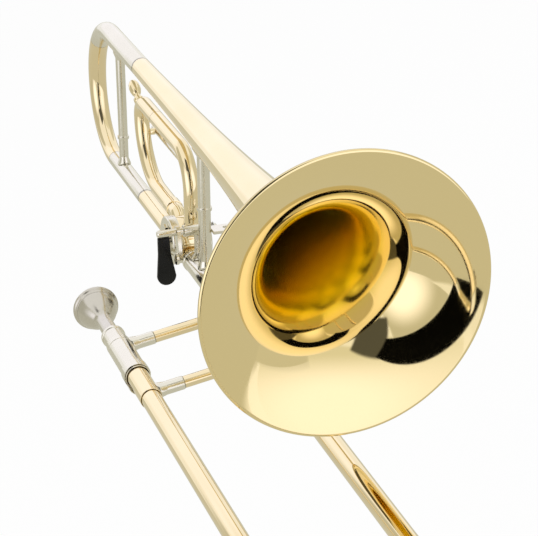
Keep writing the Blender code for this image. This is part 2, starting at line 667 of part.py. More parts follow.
def make_valve(frame, rotor_frame):
    """Valve casing with its four ports, rotor, bearing plate and screw cap."""
    half = CASING_HALF_WIDTH
    bore = CASING_RADIUS - CASING_WALL
    rib = CASING_RADIUS + CASING_RIB
    shaft_hole = SPINDLE_RADIUS + RUNNING_GAP
    band = half - CASING_BAND
    profile = [(-half, shaft_hole), (-half, CASING_RADIUS), (band, CASING_RADIUS), (band, rib), (half, rib),
               (half, bore), (-half + CASING_END_WALL, bore), (-half + CASING_END_WALL, shaft_hole)]
    casing = turned(profile, VALVE_SIDES, "Y")
    ports = []
    inner = 0.45 * bore
    outer = CASING_RADIUS + 3 * MM
    for side in (-1, 1):
        main = turned(rod_profile(inner, outer, PORT_RADIUS), THIN_SIDES, "X")
        if side < 0:
            bmesh.ops.rotate(main, verts=main.verts, cent=(0, 0, 0), matrix=Matrix.Rotation(math.pi, 3, "Z"))
        ports.append(moved(main, (0, 0, -VALVE_HEIGHT)))
        loop = turned(rod_profile(inner, outer, PORT_RADIUS - 0.5 * MM), THIN_SIDES, "X")
        angle = PORT_ANGLE if side > 0 else REAR_PORT_ANGLE
        bmesh.ops.rotate(loop, verts=loop.verts, cent=(0, 0, 0), matrix=Matrix.Rotation(-angle, 3, "Y"))
        ports.append(loop)
    casing = combined(casing, ports, "DIFFERENCE")
    place("valve_casing", casing, BRASS, frame, (VALVE_X, 0, VALVE_HEIGHT))

    low = -half + CASING_END_WALL + RUNNING_GAP
    plate_back = half - BEARING_PLATE - SEAT_GAP
    high = plate_back - RUNNING_GAP
    rotor = turned([(ARM_OUTER, 0), (ARM_OUTER, SPINDLE_RADIUS), (low, SPINDLE_RADIUS), (low, ROTOR_RADIUS),
                    (high, ROTOR_RADIUS), (high, SPINDLE_RADIUS), (half, SPINDLE_RADIUS), (half, 0)],
                   VALVE_SIDES, "Y")
    passages = []
    for side in (-1, 1):
        passage = turned(rod_profile(-CASING_RADIUS, CASING_RADIUS, PASSAGE_RADIUS), THIN_SIDES + 2, "X")
        passages.append(moved(passage, (0, 0, side * VALVE_HEIGHT)))
    rotor = combined(rotor, passages, "DIFFERENCE")
    place("rotor", rotor, BRASS, rotor_frame)

    bearing = turned(tube_profile(plate_back, half - SEAT_GAP, bore - SEAT_GAP, shaft_hole), VALVE_SIDES, "Y")
    place("rotor_bearing_plate", bearing, BRASS, frame, (VALVE_X, 0, VALVE_HEIGHT))
    cap_low = half + SEAT_GAP
    cap_high = cap_low + CAP_THICKNESS
    cap = turned([(cap_low, 0), (cap_low, rib), (cap_high - CAP_CHAMFER, rib),
                  (cap_high, rib - CAP_CHAMFER), (cap_high, 0.6 * rib), (cap_high - CAP_DISH, 0.5 * rib),
                  (cap_high - CAP_DISH, 0)],
                 VALVE_SIDES, "Y")
    for vert in cap.verts:
        ring = math.hypot(vert.co.x, vert.co.z)
        step = round(math.atan2(vert.co.z, vert.co.x) / (2 * math.pi / VALVE_SIDES))
        if ring > rib - 0.1 * MM and step % 2:
            vert.co.x *= 1 - CAP_KNURL / rib
            vert.co.z *= 1 - CAP_KNURL / rib
    place("valve_cap", cap, NICKEL, frame, (VALVE_X, 0, VALVE_HEIGHT))


# The linkage is laid out about the middle of its swing, with both arms square to the line of centres
LINE_OF_CENTRES = math.atan2(LEVER_HEIGHT - VALVE_HEIGHT, LEVER_X - VALVE_X)
ARM_MIDDLE = LINE_OF_CENTRES - math.pi / 2
STOP_ARM_REST = ARM_MIDDLE - ROTOR_TURN / 2
LEVER_ARM_REST = ARM_MIDDLE - LEVER_TURN / 2
LEVER_ARM_REACH = STOP_ARM_REACH * math.sin(ROTOR_TURN / 2) / math.sin(LEVER_TURN / 2)
LEVER_ARM_HUB = 4.4 * MM
STOP_ARM_HUB = 5.2 * MM
ARM_EYE = 2.8 * MM
PIN_HEAD = 0.6 * MM
TONGUE_REST = STOP_ARM_REST + math.pi
BUMPER_SPREAD = math.asin((STOP_TONGUE_WIDTH / 2 + SEAT_GAP + BUMPER_POST_RADIUS) / STOP_RADIUS)


def arm_outline(reach, root, tip, angle):
    """An arm from a round root to a round tip, at an angle about the root."""
    spread = math.acos((root - tip) / reach)
    outer = circle(polar((0, 0), reach, angle), tip, 7, angle - spread, 2 * spread)
    inner = circle((0, 0), root, 11, angle + spread, 2 * math.pi - 2 * spread)
    return outer + inner


def make_stop_arm(frame, rotor_frame):
    """Stop arm on the rotor's spindle, and the plate and rubber posts that stop it."""
    high = ARM_OUTER + ARM_THICKNESS
    arm_reach = arm_outline(STOP_ARM_REACH, STOP_ARM_HUB, ARM_EYE, STOP_ARM_REST)
    arm = plate([arm_reach, circle((0, 0), SPINDLE_RADIUS + SEAT_GAP, 16)], ARM_OUTER, high)
    half = STOP_TONGUE_WIDTH / 2
    root = 4.4 * MM
    along = Vector((math.cos(TONGUE_REST), math.sin(TONGUE_REST)))
    across = Vector((-along.y, along.x))
    corners = [along * root - across * half, along * STOP_TONGUE_REACH - across * half,
               along * STOP_TONGUE_REACH + across * half, along * root + across * half]
    inset = 0.2 * MM
    tongue = plate([[(c.x, c.y) for c in corners]], ARM_OUTER + inset, high - inset)
    pin_end = polar((0, 0), STOP_ARM_REACH, STOP_ARM_REST)
    pin = turned(rod_profile(LINK_OUTER - PIN_HEAD, high - inset, PIN_RADIUS), 12, "Y")
    pin = moved(pin, (pin_end[0], 0, pin_end[1]))
    place("stop_arm", combined(arm, [tongue, pin], "UNION"), NICKEL, rotor_frame)

    low = -CASING_HALF_WIDTH - SEAT_GAP - STOP_PLATE
    first = TONGUE_REST - BUMPER_SPREAD
    last = TONGUE_REST + ROTOR_TURN + BUMPER_SPREAD
    high = low + STOP_PLATE
    rim = CASING_SEAT + COVER_WALL
    hole = SPINDLE_RADIUS + RUNNING_GAP
    disc = turned([(low, hole), (low, rim - COVER_WALL), (low + COVER_WALL, rim), (COVER_EDGE, rim),
                   (COVER_EDGE, CASING_SEAT), (high, CASING_SEAT), (high, hole)], VALVE_SIDES, "Y")
    place("stop_plate", disc, NICKEL, frame, (VALVE_X, 0, VALVE_HEIGHT))
    for name, angle in (("rest", first), ("pressed", last)):
        x, z = polar((VALVE_X, VALVE_HEIGHT), STOP_RADIUS, angle)
        post = turned(rod_profile(ARM_OUTER - 0.4 * MM, low - SEAT_GAP, BUMPER_POST_RADIUS), THIN_SIDES, "Y")
        place("stop_bumper_" + name, post, RUBBER, frame, (x, 0, z))


def make_thumb_lever(frame, lever_frame):
    """Thumb lever on its bracket, with the paddle that the thumb presses and its spring."""
    boss_radius = LEVER_SHAFT_RADIUS + RUNNING_GAP + LEVER_BOSS_WALL
    boss = turned(tube_profile(LEVER_BOSS_LEFT, LEVER_BOSS_RIGHT, boss_radius,
                               LEVER_SHAFT_RADIUS + RUNNING_GAP), 16, "Y")
    foot = SOCKET_RADIUS + SEAT_GAP
    top = LEVER_HEIGHT - LEVER_SHAFT_RADIUS - RUNNING_GAP - 0.45 * LEVER_BOSS_WALL
    flange = 1.7 * LEVER_POST_RADIUS
    post = turned(seat_rings(foot, flange) + [(foot + 1.2 * MM, flange), (foot + 4 * MM, LEVER_POST_RADIUS),
                                              (top, LEVER_POST_RADIUS), (top, 0)], THIN_SIDES, "Z")
    saddle(post, foot, round_surface(0.0, foot, 1), top, None)
    bracket = combined(moved(boss, (0, 0, LEVER_HEIGHT)), [post], "UNION")
    place("lever_bracket", bracket, NICKEL, frame, (LEVER_X, 0, 0))

    shaft = turned(rod_profile(LEVER_LEFT, LEVER_RIGHT, LEVER_SHAFT_RADIUS, 0.8 * MM), 16, "Y")
    arm = plate([arm_outline(LEVER_ARM_REACH, LEVER_ARM_HUB, ARM_EYE, LEVER_ARM_REST)],
                ARM_OUTER, ARM_OUTER + ARM_THICKNESS)
    tip = polar((0, 0), LEVER_ARM_REACH, LEVER_ARM_REST)
    pin = turned(rod_profile(LINK_OUTER - PIN_HEAD, ARM_OUTER + 1 * MM, PIN_RADIUS), 12, "Y")
    pin = moved(pin, (tip[0], 0, tip[1]))
    lever = combined(shaft, [arm, pin], "UNION")
    place("thumb_lever", lever, NICKEL, lever_frame)

    top = -LEVER_SHAFT_RADIUS - SEAT_GAP
    half_top = PADDLE_TOP_WIDTH / 2
    half = PADDLE_WIDTH / 2
    low = top - PADDLE_LENGTH + half
    waist = top - 0.35 * PADDLE_LENGTH
    outline = [(PADDLE_SIDE - half_top, top), (PADDLE_SIDE + half_top, top),
               (PADDLE_SIDE + half_top + 0.8 * MM, waist)]
    outline += circle((PADDLE_SIDE + PADDLE_DRIFT, low), half, 13, 0.0, -math.pi)
    outline += [(PADDLE_SIDE - half_top, waist)]
    paddle = plate([outline], -PADDLE_THICKNESS / 2, PADDLE_THICKNESS / 2, "YZ")
    rim = [e for e in paddle.edges if e.calc_face_angle(0.0) > math.radians(60) and
           abs(e.verts[0].co.x - e.verts[1].co.x) < 1e-6]
    bmesh.ops.bevel(paddle, geom=rim, offset=1.1 * MM, segments=2, profile=0.5, affect="EDGES")
    place("thumb_paddle", paddle, BLACK, lever_frame)

    coil = bpy.data.curves.new("lever_spring", "CURVE")
    coil.dimensions = "3D"
    coil.bevel_depth = SPRING_WIRE_RADIUS
    coil.bevel_resolution = 1
    coil.use_fill_caps = True
    spline = coil.splines.new("POLY")
    per_turn = 10
    count = SPRING_TURNS * per_turn + 1
    spline.points.add(count - 1)
    radius = LEVER_SHAFT_RADIUS + RUNNING_GAP + SPRING_WIRE_RADIUS + 0.2 * MM
    first = LEVER_BOSS_RIGHT + SEAT_GAP + SPRING_WIRE_RADIUS
    pitch = (LEVER_RIGHT - 1.5 * MM - first) / SPRING_TURNS
    for i, point in enumerate(spline.points):
        angle = 2 * math.pi * i / per_turn
        point.co = (radius * math.cos(angle), first + pitch * i / per_turn, radius * math.sin(angle), 1.0)
    turns = zip(spline.points[:-per_turn], spline.points[per_turn:])
    closest = min((a.co.to_3d() - b.co.to_3d()).length for a, b in turns)
    print(f"lever_spring: {(closest - 2 * SPRING_WIRE_RADIUS) / MM:.2f} mm between its turns")
    coil.materials.append(make_material("lever_spring", STEEL))
    spring = bpy.data.objects.new("lever_spring", coil)
    spring.location = (LEVER_X, 0, LEVER_HEIGHT)
    spring.parent = frame
    bpy.context.collection.objects.link(spring)


def make_link(link_frame):
    """Flat link from the stop arm's pin to the lever's pin, which stays an open pivot."""
    start = Vector(polar((VALVE_X, VALVE_HEIGHT), STOP_ARM_REACH, STOP_ARM_REST))
    end = Vector(polar((LEVER_X, LEVER_HEIGHT), LEVER_ARM_REACH, LEVER_ARM_REST))
    middle_start = Vector(polar((VALVE_X, VALVE_HEIGHT), STOP_ARM_REACH, ARM_MIDDLE))
    middle_end = Vector(polar((LEVER_X, LEVER_HEIGHT), LEVER_ARM_REACH, ARM_MIDDLE))
    run = (end - start + middle_end - middle_start) / 2
    angle = math.atan2(run.y, run.x)
    half = LINK_WIDTH / 2
    spread = math.asin(half / LINK_EYE_RADIUS)
    far = (run.length, 0.0)
    eye = LINK_EYE_RADIUS
    far_eye = eye + OPEN_PIVOT_CLEARANCE
    far_spread = math.asin(half / far_eye)
    outline = circle((0, 0), eye, 11, spread, 2 * math.pi - 2 * spread)
    outline += circle(far, far_eye, 11, math.pi + far_spread, 2 * math.pi - 2 * far_spread)
    holes = [circle((0, 0), PIN_RADIUS + RUNNING_GAP, 12), circle(far, PIN_RADIUS + OPEN_PIVOT_CLEARANCE, 12)]
    link = plate([outline] + holes, LINK_OUTER, LINK_OUTER + LINK_THICKNESS)
    bmesh.ops.rotate(link, verts=link.verts, cent=(0, 0, 0), matrix=Matrix.Rotation(-angle, 3, "Y"))
    place("link_rod", link, NICKEL, link_frame)


def make_loop(frame, loop_frame):
    """The valve's tubing loop: fixed front tube and knuckle, and the small tuning slide behind."""
    start = polar((VALVE_X, VALVE_HEIGHT), CASING_SEAT, PORT_ANGLE)
    rise = LOOP_FRONT_X - start[0]
    turn = math.pi / 2 - PORT_ANGLE
    bend = (rise - KNUCKLE_STUB * math.cos(PORT_ANGLE)) / (1 - math.cos(turn))
    route = Route(start, PORT_ANGLE)
    route.straight(KNUCKLE_STUB).bend(bend, turn, 4)
    route.straight(LOOP_TOP - LOOP_FRONT_BEND - route.point.y)
    route.bend(LOOP_FRONT_BEND, math.pi / 2, 7)
    route.straight(route.point.x - LOOP_SEAM_TOP_X)
    tube = swept(route, LOOP_RADIUS, TUBE_WALL, LOOP_SIDES)
    fit_port(tube, PORT_ANGLE)
    place("front_loop_tube", tube, BRASS, frame)

    start = polar((VALVE_X, VALVE_HEIGHT), CASING_SEAT, REAR_PORT_ANGLE)
    route = Route(start, REAR_PORT_ANGLE)
    route.straight(KNUCKLE_STUB).bend(KNUCKLE_BEND, math.pi - REAR_PORT_ANGLE, 4)
    route.straight(route.point.x - LOOP_SEAM_LOW_X - FERRULE_REACH).straight(FERRULE_REACH)
    knuckle = swept(route, LOOP_RADIUS, TUBE_WALL, LOOP_SIDES, sleeve=FERRULE_STEP)
    fit_port(knuckle, REAR_PORT_ANGLE)
    place("rear_loop_knuckle", knuckle, BRASS, frame)

    top_bend_x = LOOP_BACK + LOOP_TIGHT_BEND
    low_bend_x = LOOP_BACK + LOOP_WIDE_BEND
    route = Route((LOOP_SEAM_TOP_X - SEAT_GAP, LOOP_TOP), math.pi)
    route.straight(LOOP_SEAM_TOP_X - SEAT_GAP - top_bend_x)
    route.bend(LOOP_TIGHT_BEND, math.pi / 2, 6).bend(LOOP_WIDE_BEND, math.pi / 2, 8)
    route.straight(LOOP_SEAM_LOW_X - SEAT_GAP - low_bend_x)
    place("loop_bow", swept(route, LOOP_RADIUS, TUBE_WALL, LOOP_SIDES), BRASS, loop_frame)
    leg = LOOP_BORE - RUNNING_GAP
    for name, height, back, seam in (("upper", LOOP_TOP, top_bend_x, LOOP_SEAM_TOP_X),
                                     ("lower", LOOP_LOW, low_bend_x, LOOP_SEAM_LOW_X)):
        front = min(seam + LOOP_INSERTION, VALVE_X - casing_edge(LOOP_LOW) - LOOP_LEG_CLEARANCE)
        inner = turned(tube_profile(back + LOOP_LEG_START, front, leg, leg - LEG_WALL), LOOP_SIDES)
        place("loop_inner_leg_" + name, inner, NICKEL, loop_frame, (0, 0, height))

    foot = [(0, 0), (0, 0.8 * KNOB_COLLAR_RADIUS), (KNOB_FOOT_EDGE, KNOB_COLLAR_RADIUS),
            (KNOB_COLLAR_END, KNOB_COLLAR_RADIUS), (KNOB_STEM_START, KNOB_STEM_RADIUS),
            (KNOB_STEM_END, KNOB_STEM_RADIUS)]
    olive = KNOB_LENGTH - KNOB_STEM_END
    shares = [(0.12, 0.78), (0.32, 0.96), (0.52, 1.0), (0.74, 0.9), (0.92, 0.62), (1.0, 0.3)]
    knob = foot + [(KNOB_STEM_END + along * olive, out * KNOB_RADIUS) for along, out in shares]
    knob.append((KNOB_LENGTH, 0))
    bow_skin = LOOP_TIGHT_BEND + LOOP_RADIUS + SEAT_GAP
    base = polar((top_bend_x, LOOP_TOP - LOOP_TIGHT_BEND), bow_skin, KNOB_ANGLE)
    place("loop_pull_knob", turned(knob, THIN_SIDES, "Z"), BRASS, loop_frame, (base[0], 0, base[1]),
          (0, math.pi / 2 - KNOB_ANGLE, 0))
    stay = turned(rod_profile(STAY_BACK, STAY_FRONT, STAY_RADIUS, TIP_CHAMFER), THIN_SIDES)
    place("loop_stay", stay, NICKEL, loop_frame, (0, STAY_SIDE, STAY_HEIGHT))

    start = LOOP_RADIUS + SEAT_GAP
    end = STAY_SIDE - STAY_RADIUS - SEAT_GAP
    radius = STAY_POST_RADIUS
    post = turned(seat_rings(start, radius) + seat_rings(end, radius)[::-1], THIN_SIDES, "Z")
    lean = math.asin((LOOP_TOP - LOOP_TIGHT_BEND - STAY_HEIGHT) / LOOP_WIDE_BEND)
    for vert in post.verts:
        if vert.co.z < (start + end) / 2:
            off_axis = vert.co.x * math.cos(lean) - vert.co.y * math.sin(lean)
            vert.co.z = math.sqrt(start * start - off_axis * off_axis)
        else:
            rod = STAY_RADIUS + SEAT_GAP
            vert.co.z = STAY_SIDE - math.sqrt(rod * rod - vert.co.y * vert.co.y)
    post_x = LOOP_BACK + LOOP_WIDE_BEND * (1 - math.cos(lean))
    place("loop_stay_post", post, BRASS, loop_frame, (post_x, 0, STAY_HEIGHT), (-math.pi / 2, 0, 0))


def fit_port(bm, angle):
    """Shape a loop tube's first ring to the round casing that it stands on."""
    along = Vector((math.cos(angle), 0, math.sin(angle)))
    across = Vector((-math.sin(angle), 0, math.cos(angle)))
    centre = Vector((VALVE_X, 0, VALVE_HEIGHT))
    for vert in bm.verts:
        out = (vert.co - centre).dot(along)
        side = (vert.co - centre).dot(across)
        if abs(out - CASING_SEAT) < WELD and abs(side) < LOOP_RADIUS * 1.01:
            vert.co += along * (math.sqrt(CASING_SEAT * CASING_SEAT - side * side) - CASING_SEAT)


def make_mouthpiece(frame):
    """Cup mouthpiece: rolled rim, bowl, throat and tapered shank."""
    back = MOUTHPIECE_BACK
    neck = back + MOUTHPIECE_CUP_LENGTH
    rim = MOUTHPIECE_RIM_RADIUS
    cup = MOUTHPIECE_CUP_RADIUS
    roll = back + MOUTHPIECE_ROLL
    waist = rim - MOUTHPIECE_ROLL_DROP
    outer = [(back + EDGE_BREAK, cup + MOUTHPIECE_BITE), (back, (rim + cup) / 2),
             (back + 0.13 * MOUTHPIECE_ROLL, rim - 0.6 * MOUTHPIECE_ROLL_DROP),
             (back + 0.42 * MOUTHPIECE_ROLL, rim),
             (back + 0.77 * MOUTHPIECE_ROLL, rim - 0.2 * MOUTHPIECE_ROLL_DROP), (roll, waist)]
    root = SHANK_ROOT_RADIUS + MOUTHPIECE_CUP_ROOT
    for i in range(1, 7):
        share = i / 6
        outer.append((roll + (neck - roll) * share, root + (waist - root) * (1 - share ** MOUTHPIECE_SWELL)))
    outer += [(neck + MOUTHPIECE_CUP_ROOT, SHANK_ROOT_RADIUS),
              (RECEIVER_BACK - SHANK_SHOW, SHANK_TIP_RADIUS + SHANK_EASE), (SHANK_TIP_X, SHANK_TIP_RADIUS)]
    throat = neck + MOUTHPIECE_CUP_FLOOR
    inner = [(SHANK_TIP_X, SHANK_TIP_RADIUS - SHANK_WALL),
             (throat + MOUTHPIECE_THROAT_LENGTH, MOUTHPIECE_THROAT_RADIUS),
             (throat, MOUTHPIECE_THROAT_RADIUS)]
    bite = back + MOUTHPIECE_BITE_DEPTH
    for i in range(1, 6):
        share = i / 5
        radius = MOUTHPIECE_THROAT_RADIUS + (cup - MOUTHPIECE_THROAT_RADIUS) * share ** MOUTHPIECE_BOWL
        inner.append((throat - (throat - bite) * share, radius))
    place("mouthpiece", turned(outer + inner, RING_SIDES), SILVER, frame, (0, UPPER_Y, 0))


def make_barrel(name, y, frame):
    """Cork barrel that takes the outer slide's end, with its web soldered to the inner tube."""
    bore = BARREL_RADIUS - BARREL_WALL
    web = BARREL_BACK + BARREL_WEB
    hole = INNER_TUBE_RADIUS + SEAT_GAP
    groove = BARREL_GROOVE_X
    dip = BARREL_RADIUS - BARREL_GROOVE
    profile = [(BARREL_BACK, hole), (BARREL_BACK, BARREL_RADIUS), (groove, BARREL_RADIUS), (groove, dip),
               (groove + GROOVE_WIDTH, dip), (groove + GROOVE_WIDTH, BARREL_RADIUS),
               (BARREL_FRONT, BARREL_RADIUS), (BARREL_FRONT, bore), (web, bore), (web, hole)]
    place(name, turned(profile, RING_SIDES), NICKEL, frame, (0, y, 0))


def make_inner_slide(nut_frame, lock_frame):
    """Everything that the player's left hand holds still."""
    lip = RECEIVER_RADIUS + RECEIVER_LIP
    bore = SHANK_TIP_RADIUS + SHANK_EASE + SEAT_GAP
    profile = [(RECEIVER_BACK, bore), (RECEIVER_BACK, lip - BLUNT_EDGE), (RECEIVER_BACK + BLUNT_EDGE, lip),
               (RECEIVER_BACK + RECEIVER_BAND, lip),
               (RECEIVER_BACK + RECEIVER_BAND + BLUNT_EDGE, RECEIVER_RADIUS),
               (RECEIVER_FRONT, RECEIVER_RADIUS), (RECEIVER_FRONT, bore)]
    place("mouthpiece_receiver", turned(profile, RING_SIDES), NICKEL, None, (0, UPPER_Y, 0))
    make_barrel("upper_cork_barrel", UPPER_Y, None)
    make_barrel("lower_cork_barrel", LOWER_Y, None)
    collar = RECEIVER_FRONT - TENON_COLLAR_LENGTH
    profile = [(TENON_TIP_X, INNER_BORE), (TENON_TIP_X, TENON_TIP_RADIUS), (SOCKET_FRONT, TENON_ROOT_RADIUS),
               (collar, TENON_ROOT_RADIUS), (collar, TENON_COLLAR_RADIUS),
               (RECEIVER_FRONT, TENON_COLLAR_RADIUS), (RECEIVER_FRONT, INNER_BORE)]
    place("slide_tenon", turned(profile, RING_SIDES), NICKEL, None, (0, LOWER_Y, 0))

    front = RECEIVER_FRONT - NUT_SETBACK
    back = front - NUT_LENGTH
    over_socket = SOCKET_RADIUS + SOCKET_BEAD + RUNNING_GAP
    over_collar = TENON_COLLAR_RADIUS + RUNNING_GAP
    shoulder = SOCKET_FRONT + 2 * RUNNING_GAP
    profile = [(back, over_socket), (back, NUT_RADIUS - NUT_CHAMFER), (back + NUT_BEVEL, NUT_RADIUS),
               (front - NUT_BEVEL, NUT_RADIUS), (front, NUT_RADIUS - NUT_CHAMFER), (front, over_collar),
               (shoulder, over_collar), (shoulder, over_socket)]
    nut = turned(profile, NUT_FACETS)
    for vert in nut.verts:
        ring = math.hypot(vert.co.y, vert.co.z)
        step = round(math.atan2(vert.co.z, vert.co.y) / (2 * math.pi / NUT_FACETS))
        if ring > NUT_RADIUS - 0.1 * MM and step % 2:
            vert.co.y *= 1 - NUT_RIB / NUT_RADIUS
            vert.co.z *= 1 - NUT_RIB / NUT_RADIUS
    place("bell_lock_nut", nut, NICKEL, nut_frame)

    for name, y in (("upper", UPPER_Y), ("lower", LOWER_Y)):
        step = INNER_FRONT - STOCKING_LENGTH
        profile = [(INNER_BACK, INNER_BORE), (INNER_BACK, INNER_TUBE_RADIUS), (step, INNER_TUBE_RADIUS),
                   (step + STOCKING_SLOPE, STOCKING_RADIUS), (INNER_FRONT, STOCKING_RADIUS),
                   (INNER_FRONT, INNER_BORE)]
        place(name + "_inner_tube", turned(profile), CHROME, None, (0, y, 0))
    make_hand_brace("inner", 0.0, BARREL_RADIUS, None)

    bore = BARREL_RADIUS + RUNNING_GAP
    front = BARREL_FRONT - LOCK_RING_SETBACK
    ring = turned(tube_profile(front - LOCK_RING_LENGTH, front, bore + LOCK_RING_WALL, bore), 24)
    lug = []
    for face in ring.faces:
        middle = face.calc_center_median()
        around = math.atan2(middle.z, middle.y) % (2 * math.pi)
        if face.normal.x > 0.9 and LOCK_LUG_FROM < around < LOCK_LUG_TO:
            lug.append(face)
    grown = bmesh.ops.extrude_face_region(ring, geom=lug)
    tips = [item for item in grown["geom"] if isinstance(item, bmesh.types.BMVert)]
    bmesh.ops.translate(ring, verts=tips, vec=(LOCK_LUG_LENGTH, 0, 0))
    bmesh.ops.delete(ring, geom=lug, context="FACES")
    place("slide_lock_ring", ring, NICKEL, lock_frame)


def make_hand_brace(name, x, tube_radius, frame):
    """A telescoping hand brace: a nickel socket on each tube and a brass tube between them."""
    for side, y in (("left", UPPER_Y), ("right", LOWER_Y)):
        start = tube_radius + SEAT_GAP
        rim = 0.25 * STRUT_FOOT
        flange = 1.15 * BRACE_SOCKET_RADIUS
        reach = BRACE_SOCKET_REACH - SEAT_GAP / 2
        profile = seat_rings(start, flange)
        profile += [(start + rim, flange), (start + STRUT_FOOT, BRACE_SOCKET_RADIUS),
                    (reach - SOCKET_CHAMFER, BRACE_SOCKET_RADIUS),
                    (reach, BRACE_SOCKET_RADIUS - SOCKET_CHAMFER), (reach, 0)]
        socket = turned(profile, 16, "Z")
        saddle(socket, start, round_surface(0.0, start, 1), reach, None)
        turn = -math.pi / 2 if y < 0 else math.pi / 2
        place(f"{name}_brace_socket_{side}", socket, NICKEL, frame, (x, y, 0), (turn, 0, 0))
    half = SLIDE_SPACING / 2 - BRACE_SOCKET_REACH - SEAT_GAP / 2
    rod = turned(rod_profile(-half, half, BRACE_RADIUS), 16, "Y")
    place(name + "_brace_tube", rod, BRASS, frame, (x, 0, 0))


def make_outer_slide(frame):
    """The moving slide: two tubes in sleeves, their brace, the bow and its bumper."""
    for name, y in (("upper", UPPER_Y), ("lower", LOWER_Y)):
        tube = turned(tube_profile(OUTER_BACK, BOW_X, OUTER_TUBE_RADIUS, OUTER_BORE))
        place(name + "_outer_tube", tube, BRASS, frame, (0, y, 0))
        sleeve = turned(tube_profile(OUTER_BACK, SLEEVE_FRONT, SLEEVE_RADIUS, SLEEVE_BORE))
        place(name + "_outer_sleeve", sleeve, BRASS, frame, (0, y, 0))
        ring = SLEEVE_BORE + FERRULE_WALL
        front = BOW_X + FERRULE_OVERHANG
        back = front - FERRULE_LENGTH
        profile = [(back, SLEEVE_BORE), (back, ring - EDGE_BREAK), (back + EDGE_BREAK, ring), (front, ring),
                   (front, SLEEVE_BORE)]
        place("bow_ferrule_" + name, turned(profile), NICKEL, frame, (0, y, 0))
    make_hand_brace("outer", OUTER_BRACE_X, SLEEVE_RADIUS, frame)
    route = Route((BOW_X + SEAT_GAP, UPPER_Y), 0.0)
    leg = FERRULE_OVERHANG - SEAT_GAP
    route.straight(leg).bend(BOW_RADIUS, math.pi, 11).straight(leg)
    place("slide_bow", swept(route, OUTER_TUBE_RADIUS, OUTER_TUBE_WALL, plane="XY"), BRASS, frame)
    back = BUMPER_BACK + 2 * MM
    front = back + BUMPER_LENGTH
    bumper = turned(seat_rings(back, BUMPER_RADIUS) + [(front - 1.2 * MM, BUMPER_RADIUS),
                                                       (front, BUMPER_RADIUS - 1.2 * MM), (front, 0)], 16)
    reach = BOW_RADIUS + OUTER_TUBE_RADIUS + SEAT_GAP
    skin = OUTER_TUBE_RADIUS + SEAT_GAP
    for vert in bumper.verts:
        if vert.co.x < back + WELD:
            tube = math.sqrt(skin * skin - vert.co.z * vert.co.z)
            arc = BOW_RADIUS + tube
            vert.co.x += math.sqrt(arc * arc - vert.co.y * vert.co.y) - reach
    place("slide_bumper", bumper, RUBBER, frame)


def make_water_key(frame, key_frame):
    """Water key under the lower ferrule: saddle with its nipple and lugs, lever, pad and spring."""
    skin = SLEEVE_BORE + FERRULE_WALL + SEAT_GAP
    pivot = BOW_X - KEY_PIVOT_BACK
    nipple = BOW_X - KEY_NIPPLE_BACK
    half = KEY_WIDTH / 2
    drop = skin + KEY_PIVOT_DROP

    def block(x0, x1, y0, y1, z0, z1):
        bm = bmesh.new()
        bmesh.ops.create_cube(bm, size=1.0)
        bmesh.ops.scale(bm, verts=bm.verts, vec=(x1 - x0, y1 - y0, z1 - z0))
        return moved(bm, ((x0 + x1) / 2, (y0 + y1) / 2, (z0 + z1) / 2))

    base = block(pivot - 4 * MM, nipple + 4 * MM, -half, half, -skin - KEY_PLATE, -skin)
    lugs = [block(pivot - 2.2 * MM, pivot + 2.2 * MM, side - 0.5 * MM, side + 0.5 * MM, -drop - 2 * MM,
                  -skin - KEY_PLATE / 2) for side in (-half + 0.7 * MM, half - 0.7 * MM)]
    face = -drop + KEY_LEVER_THICKNESS / 2 + PAD_THICKNESS + 2 * SEAT_GAP
    spout = turned(rod_profile(face, -skin - KEY_PLATE / 2, NIPPLE_RADIUS), THIN_SIDES, "Z")
    saddle_bm = combined(base, lugs + [moved(spout, (nipple, 0, 0))], "UNION")
    bore = turned(rod_profile(face - 1 * MM, -skin + 1 * MM, NIPPLE_RADIUS / 2), THIN_SIDES, "Z")
    pin_hole = turned(rod_profile(-KEY_WIDTH, KEY_WIDTH, KEY_PIN_RADIUS + RUNNING_GAP), 12, "Y")
    holes = [moved(bore, (nipple, 0, 0)), moved(pin_hole, (pivot, 0, -drop))]
    saddle_bm = combined(saddle_bm, holes, "DIFFERENCE")
    place("water_key_saddle", saddle_bm, NICKEL, frame, (0, LOWER_Y, 0))

    inside = half - 1.2 * MM - RUNNING_GAP
    thick = KEY_LEVER_THICKNESS / 2
    arm = block(KEY_SPRING_REACH - KEY_LEVER_LENGTH, nipple - pivot + PAD_RADIUS, -inside, inside,
                -thick, thick)
    barrel = turned(rod_profile(-inside, inside, 1.6 * MM), 12, "Y")
    pin = turned(rod_profile(-half, half, KEY_PIN_RADIUS), 12, "Y")
    place("water_key_lever", combined(arm, [barrel, pin], "UNION"), NICKEL, key_frame)
    under = thick + SEAT_GAP
    pad = turned(rod_profile(under, under + PAD_THICKNESS, PAD_RADIUS * 0.9), THIN_SIDES, "Z")
    place("water_key_pad", moved(pad, (nipple - pivot, 0, 0)), CORK, key_frame)
    tail = pivot - KEY_SPRING_REACH
    wide = KEY_SPRING_WIDTH / 2
    leaf = block(tail, pivot - KEY_SPRING_FOOT - SEAT_GAP, -wide, wide, -skin - KEY_SPRING_LEAF, -skin)
    tongue = block(tail, tail + KEY_SPRING_TONGUE, -wide, wide, under - drop, -skin - KEY_SPRING_LEAF / 2)
    place("water_key_spring", combined(leaf, [tongue], "UNION"), STEEL, frame, (0, LOWER_Y, 0))


